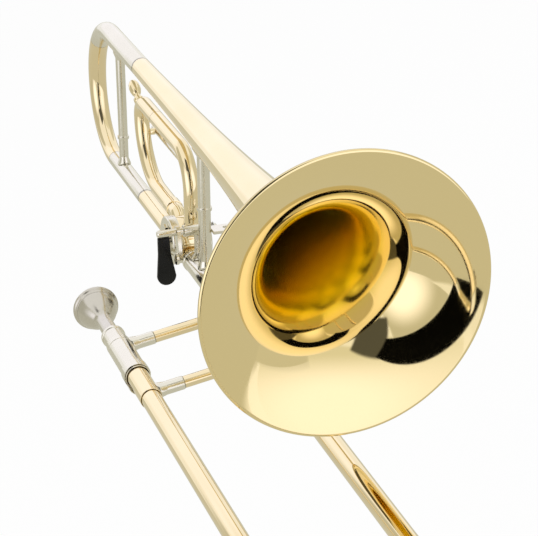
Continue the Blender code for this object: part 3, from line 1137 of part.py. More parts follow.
def main():
    clear_scene()
    bell_frame = make_empty("bell_section", (0, LOWER_Y, 0), (-BELL_LEAN, 0, 0))
    tuning_frame = make_empty("tuning_slide", (0, 0, 0), parent=bell_frame)
    loop_frame = make_empty("valve_slide", (0, 0, 0), parent=bell_frame)
    rotor_frame = make_empty("rotor_axis", (VALVE_X, 0, VALVE_HEIGHT), parent=bell_frame)
    lever_frame = make_empty("lever_axis", (LEVER_X, 0, LEVER_HEIGHT), parent=bell_frame)
    pin = polar((VALVE_X, VALVE_HEIGHT), STOP_ARM_REACH, STOP_ARM_REST)
    link_frame = make_empty("link_axis", (pin[0], 0, pin[1]), parent=bell_frame)
    nut_frame = make_empty("nut_axis", (0, LOWER_Y, 0))
    lock_frame = make_empty("lock_axis", (0, UPPER_Y, 0))
    outer_frame = make_empty("outer_slide", (0, 0, 0))
    skin = SLEEVE_BORE + FERRULE_WALL + SEAT_GAP
    key_axis = (BOW_X - KEY_PIVOT_BACK, LOWER_Y, -skin - KEY_PIVOT_DROP)
    key_frame = make_empty("water_key_axis", key_axis, parent=outer_frame)

    make_bell(bell_frame)
    make_tuning_slide(tuning_frame)
    make_neckpipe(bell_frame)
    make_bell_brace(bell_frame)
    make_valve(bell_frame, rotor_frame)
    make_stop_arm(bell_frame, rotor_frame)
    make_thumb_lever(bell_frame, lever_frame)
    make_link(link_frame)
    make_loop(bell_frame, loop_frame)
    make_mouthpiece(None)
    make_inner_slide(nut_frame, lock_frame)
    make_outer_slide(outer_frame)
    make_water_key(outer_frame, key_frame)
    bpy.context.view_layer.update()


main()
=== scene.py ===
# %% [markdown]
# # Dressing an alto trombone
# The shapes that move and touch are already packed as a CAD frame. This lesson loads that frame, looks at
# it from the photograph's side, and gives every piece the smooth skin and the finish that a real
# instrument has: lacquered brass, nickel silver, silver plate, chrome, steel wire, cork and rubber.
# It could all be painted onto the CAD facets. New skins are spun and swept instead, because polished
# metal shows each facet as a broken reflection.

# %% Load the frame
import json
import math
import bmesh
import bpy
from mathutils import Matrix, Vector

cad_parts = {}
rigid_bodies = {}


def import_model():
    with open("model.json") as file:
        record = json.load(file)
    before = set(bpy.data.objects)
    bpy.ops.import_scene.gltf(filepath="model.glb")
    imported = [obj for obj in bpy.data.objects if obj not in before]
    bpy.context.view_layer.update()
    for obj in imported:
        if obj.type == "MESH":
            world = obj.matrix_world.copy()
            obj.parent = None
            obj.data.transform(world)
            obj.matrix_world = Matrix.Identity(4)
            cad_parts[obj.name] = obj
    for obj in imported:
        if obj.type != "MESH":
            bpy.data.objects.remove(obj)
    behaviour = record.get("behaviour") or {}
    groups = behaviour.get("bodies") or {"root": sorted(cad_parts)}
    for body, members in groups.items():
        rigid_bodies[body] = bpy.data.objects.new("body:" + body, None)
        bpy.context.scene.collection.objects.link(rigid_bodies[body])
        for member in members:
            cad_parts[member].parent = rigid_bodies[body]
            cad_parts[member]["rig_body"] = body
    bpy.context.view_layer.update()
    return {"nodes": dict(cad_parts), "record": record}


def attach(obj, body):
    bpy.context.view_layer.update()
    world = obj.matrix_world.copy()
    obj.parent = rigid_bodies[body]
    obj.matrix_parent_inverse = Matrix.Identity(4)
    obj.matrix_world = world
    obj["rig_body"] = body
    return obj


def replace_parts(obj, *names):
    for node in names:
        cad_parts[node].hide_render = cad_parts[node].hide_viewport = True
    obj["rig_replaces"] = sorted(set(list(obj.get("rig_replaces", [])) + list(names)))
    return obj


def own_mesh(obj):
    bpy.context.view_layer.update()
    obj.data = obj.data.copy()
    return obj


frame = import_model()
MM = 0.001

# %% [markdown]
# ## The camera
# The instrument is seen from in front of its bell, a little from above and through a long lens, so the
# slide runs out of the picture. The camera could be aimed by eye. Here its place and turn were worked out
# from the ellipses of the two round rims and the edges of the parallel slide tubes.

# %% Camera
lens = bpy.data.cameras.new("front_view")
lens.lens = 129.76
lens.sensor_width = 36.0
lens.sensor_fit = "HORIZONTAL"
lens.clip_start = 0.01
camera = bpy.data.objects.new("front_view", lens)
CAMERA_PLACE = (1.176, -0.2278, 0.6433)
CAMERA_TURN = Matrix(((0.3246, -0.3865, 0.8632), (0.9316, 0.2885, -0.2212), (-0.1636, 0.8760, 0.4537)))
camera.matrix_world = Matrix.Translation(CAMERA_PLACE) @ CAMERA_TURN.to_4x4()
bpy.context.scene.collection.objects.link(camera)
bpy.context.scene.camera = camera
bpy.context.scene.view_settings.view_transform = "Standard"
bpy.context.scene.cycles.glossy_bounces = 12
print("camera stands", round(camera.location.length, 3), "m from the hand brace")

# %% [markdown]
# ## Two frames to work in
# The slide lies level, but the bell half leans over it by nine degrees, so that the player's neck has
# room. Every tube of the bell half is straight and square in its own tilted frame, so pieces are made
# there and then turned into place. The other way would be to work out each slanted position by hand.

# %% Two frames
BELL_LEAN = math.radians(9.44)
HALF_SPACING = 42.0
SLIDE = Matrix.Identity(4)
BELL = Matrix.Translation((0.0, HALF_SPACING * MM, 0.0)) @ Matrix.Rotation(-BELL_LEAN, 4, "X")
BELL_TUBE_Z = 110.0
print("the bell's axis passes through", [round(v, 4) for v in BELL @ Vector((0, 0, BELL_TUBE_Z * MM))])

# %% [markdown]
# ## Finishing a piece
# Each finished piece is one mesh object that sits at the origin with its place in its vertices, rides on
# the CAD body that carries it, and stands for one CAD node. These steps could be written out for every
# piece. One helper keeps the lesson short, and no piece is forgotten when the slide or the lever moves.

# %% From a bmesh to a piece
WELD = 0.002 * MM
CORNER = 35.0
made = {}


def object_from(name, bm):
    """A linked mesh object made from a bmesh, which is freed."""
    mesh = bpy.data.meshes.new(name)
    bm.to_mesh(mesh)
    bm.free()
    thing = bpy.data.objects.new(name, mesh)
    bpy.context.scene.collection.objects.link(thing)
    return thing


def finish_piece(name, bm, node, place=SLIDE, sharp=CORNER):
    """Turn a bmesh, drawn in a frame, into the piece that stands for a CAD node."""
    bmesh.ops.transform(bm, matrix=place, verts=bm.verts)
    piece = object_from(name, bm)
    piece.data.polygons.foreach_set("use_smooth", [True] * len(piece.data.polygons))
    piece.data.set_sharp_from_angle(angle=math.radians(sharp))
    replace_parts(piece, node)
    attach(piece, frame["nodes"][node]["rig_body"])
    made[name] = piece
    return piece


def merged_copy(node, place):
    """A CAD node's mesh is loose triangles: copy it into a frame and weld it first."""
    bm = bmesh.new()
    bm.from_mesh(frame["nodes"][node].data)
    bmesh.ops.transform(bm, matrix=place.inverted(), verts=bm.verts)
    bmesh.ops.remove_doubles(bm, verts=bm.verts, dist=WELD)
    return bm


print("nodes to dress:", len(frame["nodes"]))

# %% [markdown]
# ## Spinning round pieces again
# Tubes, sleeves, barrels and collars were turned on a lathe or drawn over a mandrel. The CAD has each of
# them with a few flat sides. The section that was spun is still there as the line of edges at the
# starting angle, so the copy is stripped down to that line and spun again, much finer. Subdividing the
# CAD mesh would only have rounded its corners off.

# %% Section and spin
AXES = {"X": (0, 1, 2), "Y": (1, 2, 0), "Z": (2, 1, 0)}
OFF_SECTION = 0.004 * MM
CORNER_HOLD = 0.45 * MM
TUBE_SIDES = 48
POST_SIDES = 40
CASING_SIDES = 72


def section_of(node, place, axis):
    """The outline of a turned CAD node, and the middle of its axis."""
    bm = merged_copy(node, place)
    along, other, across = AXES[axis]
    middle = Vector((0, 0, 0))
    for i in (other, across):
        reach = [v.co[i] for v in bm.verts]
        middle[i] = (min(reach) + max(reach)) / 2
    bmesh.ops.translate(bm, verts=bm.verts, vec=-middle)
    off = [v for v in bm.verts if abs(v.co[other]) > OFF_SECTION or v.co[across] < -OFF_SECTION]
    bmesh.ops.delete(bm, geom=off, context="VERTS")
    bmesh.ops.delete(bm, geom=bm.faces[:], context="FACES_ONLY")
    return bm, middle


def hold_corners(bm, hold=CORNER_HOLD):
    """Split long edges near their ends, so that a rounded corner leaves the long face flat."""
    for edge in [e for e in bm.edges if e.calc_length() > 3 * hold]:
        start, end = edge.verts
        length = edge.calc_length()
        _, first = bmesh.utils.edge_split(edge, start, hold / length)
        rest = [e for e in first.link_edges if end in e.verts]
        if rest:
            bmesh.utils.edge_split(rest[0], end, hold / (length - hold))


def spin_section(bm, axis, steps):
    """Spin an outline all the way round and close it."""
    direction = Vector([1.0 if i == AXES[axis][0] else 0.0 for i in range(3)])
    bmesh.ops.spin(bm, geom=bm.verts[:] + bm.edges[:], cent=(0, 0, 0), axis=direction,
                   angle=2 * math.pi, steps=steps, use_merge=True)
    bmesh.ops.remove_doubles(bm, verts=bm.verts, dist=WELD)
    bmesh.ops.recalc_face_normals(bm, faces=bm.faces)


def round_rims(bm, width):
    """Take the sharp corners off, as a buffing wheel does."""
    rims = [e for e in bm.edges if e.is_manifold and e.calc_face_angle(0.0) > math.radians(CORNER)]
    bmesh.ops.bevel(bm, geom=rims, offset=width, offset_type="OFFSET", segments=2, profile=0.5,
                    affect="EDGES", material=-1, clamp_overlap=True)


outline, _ = section_of("slide_tenon", SLIDE, "X")
print("the tenon's section has", len(outline.verts), "points")
outline.free()

# %% [markdown]
# ## Grooves and shaded bores
# Where one tube ends on another, a fine dark line shows, because polish dries in the joint. The bore of a
# barrel is darkened too, as painted shade, and no wheel reaches in there either. A dark colour could be
# painted there by hand. The groove is cut as a shallow dip instead, and its vertices carry a mark called
# joint_dirt_and_painted_shade, which the metals read.

# %% Grooves and bores
CUT_SNAP = 0.01 * MM
ON_RING = 0.02 * MM
SKIN_DEPTH = 0.1 * MM
BARREL_WALL = 0.6 * MM
GROOVE_DEPTH = 0.3
LOWER_JOINT = 1.6


def dark_groove(bm, x, width, depth=GROOVE_DEPTH, polish=1.0):
    """A shallow groove round a tube that runs along X, marked as filled with old polish."""
    for cut in (x - width / 2, x, x + width / 2):
        bmesh.ops.bisect_plane(bm, geom=bm.verts[:] + bm.edges[:] + bm.faces[:], dist=CUT_SNAP,
                               plane_co=(cut * MM, 0, 0), plane_no=(1, 0, 0))
    dirt_and_shade = bm.verts.layers.float.get("joint_dirt_and_painted_shade") or bm.verts.layers.float.new("joint_dirt_and_painted_shade")
    ring = [v for v in bm.verts if abs(v.co.x - x * MM) < ON_RING]
    centre = sum((v.co for v in ring), Vector()) / len(ring)
    outer = max((v.co - centre).length for v in ring)
    for vert in ring:
        out = vert.co - centre
        if out.length > outer - SKIN_DEPTH:
            vert.co -= out.normalized() * depth * MM
            vert[dirt_and_shade] = polish


def dark_bore(bm):
    """Mark everything that lies well under a barrel's outer skin, for painted shade in the bore."""
    dirt_and_shade = bm.verts.layers.float.new("joint_dirt_and_painted_shade")
    axis = sum((v.co for v in bm.verts), Vector()) / len(bm.verts)
    off_axis = {v: math.hypot(v.co.y - axis.y, v.co.z - axis.z) for v in bm.verts}
    skin = max(off_axis.values())
    for vert, radius in off_axis.items():
        # Inside the bore the mark is painted shade, where also no wheel polishes.
        vert[dirt_and_shade] = float(radius < skin - BARREL_WALL)


def sleeve_joint(bm):
    """The lower sleeve has its joint just behind its front end."""
    dark_groove(bm, max(v.co.x for v in bm.verts) / MM - LOWER_JOINT, width=2.4, depth=0.35)


print("a groove is", GROOVE_DEPTH, "mm deep, unless a joint asks for another depth")

# %% [markdown]
# ## Tubes, sleeves and barrels
# These are the plain round pieces of both slides and of the bell half. Each could be a new cylinder of the
# right size. The CAD section is spun again, because it already holds every step and stocking, and then
# the rims are eased a little. A last step can be handed in to cut a groove or to fit a seat.

# %% Turned tubes
def turned_again(node, place=SLIDE, axis="X", width=0.15, steps=TUBE_SIDES, seat=None):
    """A finer spin of a turned CAD node, with rims rounded by a width in millimetres."""
    bm, middle = section_of(node, place, axis)
    hold_corners(bm)
    spin_section(bm, axis, steps)
    round_rims(bm, width * MM)
    bmesh.ops.translate(bm, verts=bm.verts, vec=middle)
    if seat:
        seat(bm)
    finish_piece(node + "_skin", bm, node, place)


for node in ("upper_outer_tube", "lower_outer_tube", "upper_outer_sleeve", "lower_outer_sleeve",
             "bow_ferrule_upper", "bow_ferrule_lower", "upper_inner_tube", "lower_inner_tube",
             "mouthpiece_receiver", "slide_tenon"):
    turned_again(node)
for node in ("upper_cork_barrel", "lower_cork_barrel"):
    turned_again(node, seat=dark_bore)
turned_again("tuning_sleeve_lower", BELL, seat=sleeve_joint)
for node in ("tuning_inner_leg_upper", "tuning_inner_leg_lower", "bell_receiver",
             "loop_inner_leg_upper", "loop_inner_leg_lower", "loop_stay"):
    turned_again(node, BELL)
print("spun again:", len(made), "tubes")

# %% [markdown]
# ## The bell's curve
# A bell is beaten from a sheet and spun thin on a mandrel. Its curve steepens all the way to the rim. The
# curve could be drawn by hand as a spline. A formula is used, because one number then changes the whole
# flare, and the CAD bell follows the same one.

# %% Bell curve
BELL_LENGTH = 451.0 * MM
RIM_X = 225.0 * MM
RIM_RADIUS = 91.5 * MM
BEAD = 1.7 * MM
TAIL_RADIUS = 7.9 * MM
FLARE = 0.8
FLARE_END = RIM_X - BEAD


def bell_radius(x):
    """Outer radius of the bell at a distance along it."""
    ratio = (TAIL_RADIUS / (RIM_RADIUS - BEAD)) ** (1 / FLARE)
    lead = BELL_LENGTH * ratio / (1 - ratio)
    return (RIM_RADIUS - BEAD) * (lead / (lead + max(FLARE_END - x, 0.0))) ** FLARE


print("halfway along, the bell is", round(2 * bell_radius(RIM_X - BELL_LENGTH / 2) / MM, 1), "mm wide")

# %% [markdown]
# ## The bell
# The edge of the sheet is rolled back over a wire, which stiffens the rim. The roll lies behind the flare,
# so the front of the rim is flush, as in the photograph. It could be a torus of its own. Here it is part
# of the section that is spun, and runs into the flare without a seam. The mesh carries two marks for the
# finish: where its inner face is, and the rim's outer edge, which gets a painted dark line of shade.

# %% Bell
BELL_WALL = 0.5 * MM
BELL_SIDES = 144
FLARE_POINTS = 70
CROWD_TO_RIM = 2.3
OUTSIDE_ENDS = 0.4 * MM
INSIDE_STARTS = 0.1 * MM
ROLL_BACK = 1.62 * MM
ROLL_POINTS = 22
ROLL_START = -42
ROLL_TURN = 330
FRONT_OF_LIP = 0.75 * BEAD
OUTER_EDGE = 0.05 * BEAD
# How dark the painted line of shade on the rim's outer edge is.
RIM_PAINTED_SHADE = 0.35


def bell_outline():
    """Half of the bell's section: up the outside, round the rolled rim, and back down the inside."""
    length = FLARE_END - (RIM_X - BELL_LENGTH)
    line = [FLARE_END - length * (1 - i / FLARE_POINTS) ** CROWD_TO_RIM for i in range(FLARE_POINTS)]
    points = [(x, bell_radius(x)) for x in line if x < FLARE_END - OUTSIDE_ENDS]
    for i in range(ROLL_POINTS):
        angle = math.radians(ROLL_START - ROLL_TURN * i / (ROLL_POINTS - 1))
        points.append((FLARE_END - ROLL_BACK + BEAD * math.cos(angle),
                       RIM_RADIUS - BEAD + BEAD * math.sin(angle)))
    return points + [(x, bell_radius(x) - BELL_WALL) for x in line[::-1] if x < FLARE_END - INSIDE_STARTS]


def mark_bell(bm):
    """Mark the inner face, and the rim's outer edge for a painted dark line of shade."""
    inside = bm.verts.layers.float.new("inside")
    dirt_and_shade = bm.verts.layers.float.new("joint_dirt_and_painted_shade")
    for vert in bm.verts:
        radius = math.hypot(vert.co.y, vert.co.z)
        within = radius < bell_radius(min(vert.co.x, FLARE_END)) - BELL_WALL / 2
        vert[inside] = float(within or vert.co.x > FLARE_END - FRONT_OF_LIP)
        # A painted dark line of shade along the rim's outer edge.
        vert[dirt_and_shade] = RIM_PAINTED_SHADE * float(radius > RIM_RADIUS - OUTER_EDGE)


bm = bmesh.new()
corners = [bm.verts.new((x, 0, radius)) for x, radius in bell_outline()]
for a, b in zip(corners, corners[1:] + corners[:1]):
    bm.edges.new((a, b))
spin_section(bm, "X", BELL_SIDES)
mark_bell(bm)
bmesh.ops.translate(bm, verts=bm.verts, vec=(0, 0, BELL_TUBE_Z * MM))
bell = finish_piece("bell_skin", bm, "bell", BELL, sharp=80)
print("bell:", len(bell.data.polygons), "faces,", round(2 * RIM_RADIUS / MM, 1), "mm across")

# %% [markdown]
# ## Routes in a plane
# A bow is bent flat, so its whole route lies in one plane. It could be given in three coordinates. Two are
# enough, and they can be read off a drawing of the bow from its side.

# %% Points and directions in a plane
def flat_point(u, v, plane="XZ"):
    """A point given in millimetres in one of the two planes that tubes bend in."""
    return Vector((u, 0, v)) * MM if plane == "XZ" else Vector((u, v, 0)) * MM


def flat_vector(angle, plane="XZ"):
    """A direction in such a plane."""
    u, v = math.cos(angle), math.sin(angle)
    return Vector((u, 0, v)) if plane == "XZ" else Vector((u, v, 0))


print("one step to the side in the slide's plane:", flat_point(0, 1, "XY") / MM)

# %% [markdown]
# ## Bent tubes
# The bows are drawn tubes, filled with pitch and bent round a former. A curve object with a bevel would
# give the same shape. A ring of edges is carried along instead, extruded where the tube is straight and
# spun where it bends, because that is how the tube itself was made, and each run keeps its true radius.

# %% A ring carried along a route
SQUARE_TO = {"XZ": Vector((0, -1, 0)), "XY": Vector((0, 0, 1))}
DEGREES_PER_STEP = 3.5
TUBE_WALL = 0.5


def tube_along(start, heading, runs, radius, plane="XZ"):
    """Runs are millimetres for a straight, or (radius in mm, angle in degrees) for a bend."""
    bm = bmesh.new()
    first = spot = flat_point(*start, plane)
    face_on = Vector((0, 0, 1)).rotation_difference(flat_vector(heading, plane)).to_matrix().to_4x4()
    circle = bmesh.ops.create_circle(bm, cap_ends=False, segments=TUBE_SIDES, radius=radius * MM,
                                     matrix=Matrix.Translation(spot) @ face_on)
    ring = list({e for v in circle["verts"] for e in v.link_edges})
    for run in runs:
        if isinstance(run, tuple):
            bend, angle = run[0] * MM, math.radians(run[1])
            side = math.copysign(1.0, angle)
            centre = spot + flat_vector(heading + side * math.pi / 2, plane) * bend
            steps = max(3, round(abs(run[1]) / DEGREES_PER_STEP))
            verts = list({v for e in ring for v in e.verts})
            spun = bmesh.ops.spin(bm, geom=verts + ring, cent=centre, axis=SQUARE_TO[plane], angle=angle,
                                  steps=steps, use_merge=False)
            ring = [g for g in spun["geom_last"] if isinstance(g, bmesh.types.BMEdge)]
            heading += angle
            spot = centre + flat_vector(heading - side * math.pi / 2, plane) * bend
        else:
            grown = bmesh.ops.extrude_edge_only(bm, edges=ring)
            verts = [g for g in grown["geom"] if isinstance(g, bmesh.types.BMVert)]
            ring = [e for e in grown["geom"] if isinstance(e, bmesh.types.BMEdge)
                    and all(v in set(verts) for v in e.verts)]
            step = flat_vector(heading, plane) * run * MM
            bmesh.ops.translate(bm, verts=verts, vec=step)
            spot = spot + step
    bmesh.ops.remove_doubles(bm, verts=bm.verts, dist=WELD)
    bmesh.ops.recalc_face_normals(bm, faces=bm.faces)
    nearest = min(bm.faces, key=lambda face: (face.calc_center_median() - first).length)
    if nearest.normal.dot(nearest.calc_center_median() - first) < 0:
        bmesh.ops.reverse_faces(bm, faces=bm.faces)
    return bm


def give_wall(bm, wall=TUBE_WALL):
    """A tube's wall grows inwards from its skin, and its two ends close."""
    bmesh.ops.solidify(bm, geom=bm.faces[:], thickness=wall * MM)
    return bm


sample = give_wall(tube_along((0, 0), 0.0, [10, (20, 90)], 5))
print("a sample tube has", sum(edge.is_boundary for edge in sample.edges), "open edges")
sample.free()

# %% [markdown]
# ## The bows
# The tuning slide's bow starts as a nickel sleeve behind the bell. Brass takes over in the bend and slims
# towards the neckpipe. The slide's end bow keeps one width. Each bow could be one tube in two colours.
# The two metals are two pieces here, because on the instrument two tubes meet with a fine seam.

# %% Bows and the upper sleeve
BOW_BACK = -320.3
BOW_RADIUS = 55.0
NICKEL_BEND = 45.0
SEAM = 0.3
NECK_TUBE = 6.7
TAIL_TUBE = 7.9
SLIDE_TUBE = 6.9
SLEEVE_FRONT = -226.3
SLEEVE_JOINT = -227.5
SLIDE_BOW_X = 518.0
SLIDE_BOW_LEG = 2
SLIDE_BOW_WALL = 0.4


def taper_round_bend(bm, centre, bend, start_angle, start_radius, end_radius):
    """Slim a bent tube evenly from its start to its end, round the bend's centre."""
    for vert in bm.verts:
        out = vert.co - centre
        angle = (math.atan2(out.z, out.x) - start_angle) % (2 * math.pi)
        share = min(max(angle / (math.pi * 3 / 2 - start_angle), 0.0), 1.0)
        line = centre + Vector((math.cos(start_angle + angle), 0, math.sin(start_angle + angle))) * bend
        scale = 1 + (end_radius / start_radius - 1) * share
        vert.co = line + (vert.co - line) * scale


sleeve = tube_along((SLEEVE_FRONT, BELL_TUBE_Z), math.pi,
                    [SLEEVE_FRONT - BOW_BACK, (BOW_RADIUS, NICKEL_BEND)], TAIL_TUBE)
dark_groove(sleeve, SLEEVE_JOINT, width=2.0)
finish_piece("tuning_sleeve_upper_skin", give_wall(sleeve), "tuning_sleeve_upper", BELL)

gap_angle = math.degrees(SEAM / BOW_RADIUS)
begin = math.radians(90 + NICKEL_BEND + gap_angle)
bow_start = (BOW_BACK + BOW_RADIUS * math.cos(begin), BOW_RADIUS + BOW_RADIUS * math.sin(begin))
bow = tube_along(bow_start, begin + math.pi / 2, [(BOW_RADIUS, 180 - NICKEL_BEND - 2 * gap_angle)],
                 TAIL_TUBE)
taper_round_bend(bow, flat_point(BOW_BACK, BOW_RADIUS), BOW_RADIUS * MM, begin, TAIL_TUBE, NECK_TUBE)
bow_piece = finish_piece("tuning_bow_skin", give_wall(bow), "tuning_bow", BELL)

leg = SLIDE_BOW_LEG - SEAM
end_bow = tube_along((SLIDE_BOW_X + SEAM, -HALF_SPACING), 0.0, [leg, (HALF_SPACING, 180), leg],
                     SLIDE_TUBE, "XY")
finish_piece("slide_bow_skin", give_wall(end_bow, SLIDE_BOW_WALL), "slide_bow")
print("the tuning bow reaches", round(min(v.co.x for v in bow_piece.data.vertices) / MM, 1), "mm back")

# %% [markdown]
# ## Ends that fit the casing
# The fixed tubes of the valve's loop are soldered on its round casing, so their ends are cut to its curve.
# A boolean could cut them. Moving the end ring to the casing's curve gives the same fit with clean edges.

# %% Fit to the casing
VALVE = (-117.0, 9.5)
CASING_SEAT = 17.8
LOOP_TUBE = 6.0
FIRST_RING = 0.01 * MM


def on_casing(angle, reach=CASING_SEAT):
    """A point at some distance from the rotor's axis, in millimetres."""
    return (VALVE[0] + reach * math.cos(angle), VALVE[1] + reach * math.sin(angle))


def fit_to_casing(bm, angle):
    """Move a tube's first ring to the curve of the casing."""
    along, across = flat_vector(angle), flat_vector(angle + math.pi / 2)
    centre = flat_point(*VALVE)
    seat = CASING_SEAT * MM
    for vert in bm.verts:
        out = (vert.co - centre).dot(along)
        side = (vert.co - centre).dot(across)
        if abs(out - seat) < FIRST_RING and abs(side) < 1.01 * LOOP_TUBE * MM:
            vert.co += along * (math.sqrt(seat * seat - side * side) - seat)


print("the loop's tubes sit", CASING_SEAT, "mm from the rotor's axis")

# %% [markdown]
# ## The valve's loop
# The valve adds this length of tubing. A fixed tube leaves the casing and climbs to the bell's tail, and
# a small slide with one tight and one wide bend closes the loop behind. The fixed knuckle in the rear
# widens into a ferrule for the slide. The loop could be one tube. It is three, because the slide pulls out
# at its two seams.

# %% Loop tubes
LOOP_TOP = 81.5
LOOP_BACK = -232.0
TIGHT_BEND = 12.0
FRONT_BEND = 28.0
FRONT_X = -97.0
SEAM_TOP = -186.0
SEAM_LOW = -152.5
FRONT_PORT = math.radians(45.0)
REAR_PORT = math.radians(142.0)
STUB = 1.0
KNUCKLE_BEND = 10
FERRULE_STEP = 0.7
FERRULE_REACH = 9.0
FERRULE_RAMP = 0.3
FERRULE_SLACK = 0.1

start = on_casing(FRONT_PORT)
swing = math.pi / 2 - FRONT_PORT
rise = (FRONT_X - start[0] - STUB * math.cos(FRONT_PORT)) / (1 - math.cos(swing))
climb = LOOP_TOP - FRONT_BEND - start[1] - STUB * math.sin(FRONT_PORT) - rise * math.sin(swing)
front = tube_along(start, FRONT_PORT, [STUB, (rise, math.degrees(swing)), climb, (FRONT_BEND, 90),
                                       FRONT_X - FRONT_BEND - SEAM_TOP], LOOP_TUBE)
fit_to_casing(front, FRONT_PORT)
finish_piece("front_loop_skin", give_wall(front), "front_loop_tube", BELL)

stub_end = on_casing(REAR_PORT, CASING_SEAT + STUB)
low_line = stub_end[1] + KNUCKLE_BEND * (1 + math.cos(REAR_PORT))
run = stub_end[0] - KNUCKLE_BEND * math.sin(REAR_PORT) - SEAM_LOW
knuckle = tube_along(on_casing(REAR_PORT), REAR_PORT,
                     [STUB, (KNUCKLE_BEND, 180 - math.degrees(REAR_PORT)),
                      run - FERRULE_REACH - FERRULE_RAMP, FERRULE_RAMP, FERRULE_REACH], LOOP_TUBE)
fit_to_casing(knuckle, REAR_PORT)
ferrule = [v for v in knuckle.verts if v.co.x < (SEAM_LOW + FERRULE_REACH + FERRULE_SLACK) * MM]
grown = 1 + FERRULE_STEP / LOOP_TUBE
bmesh.ops.scale(knuckle, vec=(1, grown, grown), verts=ferrule,
                space=Matrix.Translation((0, 0, -low_line * MM)))
finish_piece("rear_knuckle_skin", give_wall(knuckle), "rear_loop_knuckle", BELL)

wide_bend = LOOP_TOP - TIGHT_BEND - low_line
loop = tube_along((SEAM_TOP - SEAM, LOOP_TOP), math.pi,
                  [SEAM_TOP - SEAM - LOOP_BACK - TIGHT_BEND, (TIGHT_BEND, 90), (wide_bend, 90),
                   SEAM_LOW - SEAM - LOOP_BACK - wide_bend], LOOP_TUBE)
finish_piece("loop_bow_skin", give_wall(loop), "loop_bow", BELL)
print("the loop's lower leg runs", round(low_line, 2), "mm above the neckpipe")

# %% [markdown]
# ## Braces and their seats
# Braces hold the tubes apart. Each is a turned post with a flange at either end, filed until it sits on
# the round tube without a gap. A boolean could do the filing. The posts are spun like the tubes instead,
# and the flange's last rings are then moved onto the tube's curve, which keeps their edges clean.

# %% Braces
FLANGE = 5.05
SEAT_SLACK = 0.5
BOW_SEAT = 7.0
TAIL_SEAT = 8.2
BARREL_SEAT = 8.9
SLEEVE_SEAT = 7.9
NECK_SEAT = 8.7
BRACE_EDGE = 0.12


def sit_on_tube(bm, along, other, centre, radius, sign):
    """Fit the end of a post to a round tube whose axis is square to it."""
    for vert in bm.verts:
        out = (vert.co[along] / MM - centre) * sign - radius
        if -SEAT_SLACK < out < FLANGE:
            drop = radius - math.sqrt(max(radius ** 2 - (vert.co[other] / MM) ** 2, 0.0))
            vert.co[along] -= sign * drop * MM


def seats(*ends):
    """A last step for turned_again that seats each listed end of a post."""
    def apply(bm):
        for end in ends:
            sit_on_tube(bm, *end)
    return apply


turned_again("tuning_brace", BELL, "Z", BRACE_EDGE, POST_SIDES,
             seats((2, 1, 0.0, BOW_SEAT, 1), (2, 1, BELL_TUBE_Z, TAIL_SEAT, -1)))
for slide, tube in (("inner", BARREL_SEAT), ("outer", SLEEVE_SEAT)):
    for side, sign in (("left", 1), ("right", -1)):
        turned_again(f"{slide}_brace_socket_{side}", SLIDE, "Y", BRACE_EDGE, POST_SIDES,
                     seats((1, 2, -sign * HALF_SPACING, tube, sign)))
    turned_again(slide + "_brace_tube", SLIDE, "Y", BRACE_EDGE, POST_SIDES)
print("pieces so far:", len(made))

# %% [markdown]
# ## The bell's brace
# One brace stands on the bell half's receiver and carries the bell. It could be seated as on a plain
# tube, but its flange would gape on one side, because the bell widens. So that end follows the bell's own
# formula, point by point.

# %% Bell brace
BRACE_TOP = 8 * MM


def make_bell_brace():
    """Spin the brace, with its upper end seated on the bell and its lower end on the tube below."""
    bm, middle = section_of("bell_brace", BELL, "Z")

    def skin(x, y):
        radius = bell_radius(middle.x + x) + SEAM * MM
        return BELL_TUBE_Z * MM - math.sqrt(radius * radius - y * y)

    flat = skin(0, 0)
    end = [v for v in bm.verts if v.co.z > flat - BRACE_TOP]
    for vert in end:
        vert.co.z += flat - skin(vert.co.x, 0)
    hold_corners(bm)
    spin_section(bm, "Z", POST_SIDES)
    round_rims(bm, BRACE_EDGE * MM)
    for vert in bm.verts:
        if vert.co.z > flat - FLANGE * MM:
            vert.co.z += skin(vert.co.x, vert.co.y) - flat
    sit_on_tube(bm, 2, 1, 0.0, NECK_SEAT, 1)
    bmesh.ops.translate(bm, verts=bm.verts, vec=middle)
    finish_piece("bell_brace_skin", bm, "bell_brace", BELL)


make_bell_brace()
print("pieces so far:", len(made))

# %% [markdown]
# ## The neckpipe and gooseneck
# Both are plain tubes, cut at one end to the round valve casing. They could be turned like the other
# straight tubes, but a turned end is flat. They are swept like the bows, and the end ring is then drawn
# back to the casing's curve.

# %% Neckpipe and gooseneck
NECKPIPE_END = -226.0
GOOSENECK_END = -60.3
AT_VALVE = 0.5 * MM


def neck_piece(node, far, side):
    """A straight tube from the casing to its far end, on the front (1) or back (-1) of the valve."""
    bm = tube_along((VALVE[0], 0.0), 0.0 if side > 0 else math.pi, [side * (far - VALVE[0])], NECK_TUBE)
    for vert in bm.verts:
        if abs(vert.co.x - VALVE[0] * MM) < AT_VALVE:
            rise = vert.co.z / MM - VALVE[1]
            edge = math.sqrt(max(CASING_SEAT ** 2 - rise ** 2, 0.0)) * MM
            vert.co.x = VALVE[0] * MM + side * edge
    finish_piece(node + "_skin", give_wall(bm), node, BELL)


neck_piece("neckpipe", NECKPIPE_END, -1)
neck_piece("gooseneck", GOOSENECK_END, 1)
print("the neckpipe and gooseneck span", round(GOOSENECK_END - NECKPIPE_END, 1), "mm with the valve")

# %% [markdown]
# ## The valve
# A brass casing holds the rotor. On one side the bearing is covered by a cap, on the other the rotor's
# spindle carries the stop arm between two bumpers. The casing, its plates and the bumpers could
# keep their CAD skins, which are good from afar. They were turned, so they are spun again too, and the
# slide's round end bumper with them.

# %% Valve casing, plates and bumpers
for node in ("valve_casing", "rotor_bearing_plate", "stop_plate",
             "stop_bumper_rest", "stop_bumper_pressed"):
    turned_again(node, BELL, "Y", width=0.25, steps=CASING_SIDES)
turned_again("slide_bumper", width=0.4, steps=POST_SIDES)
print("pieces so far:", len(made))

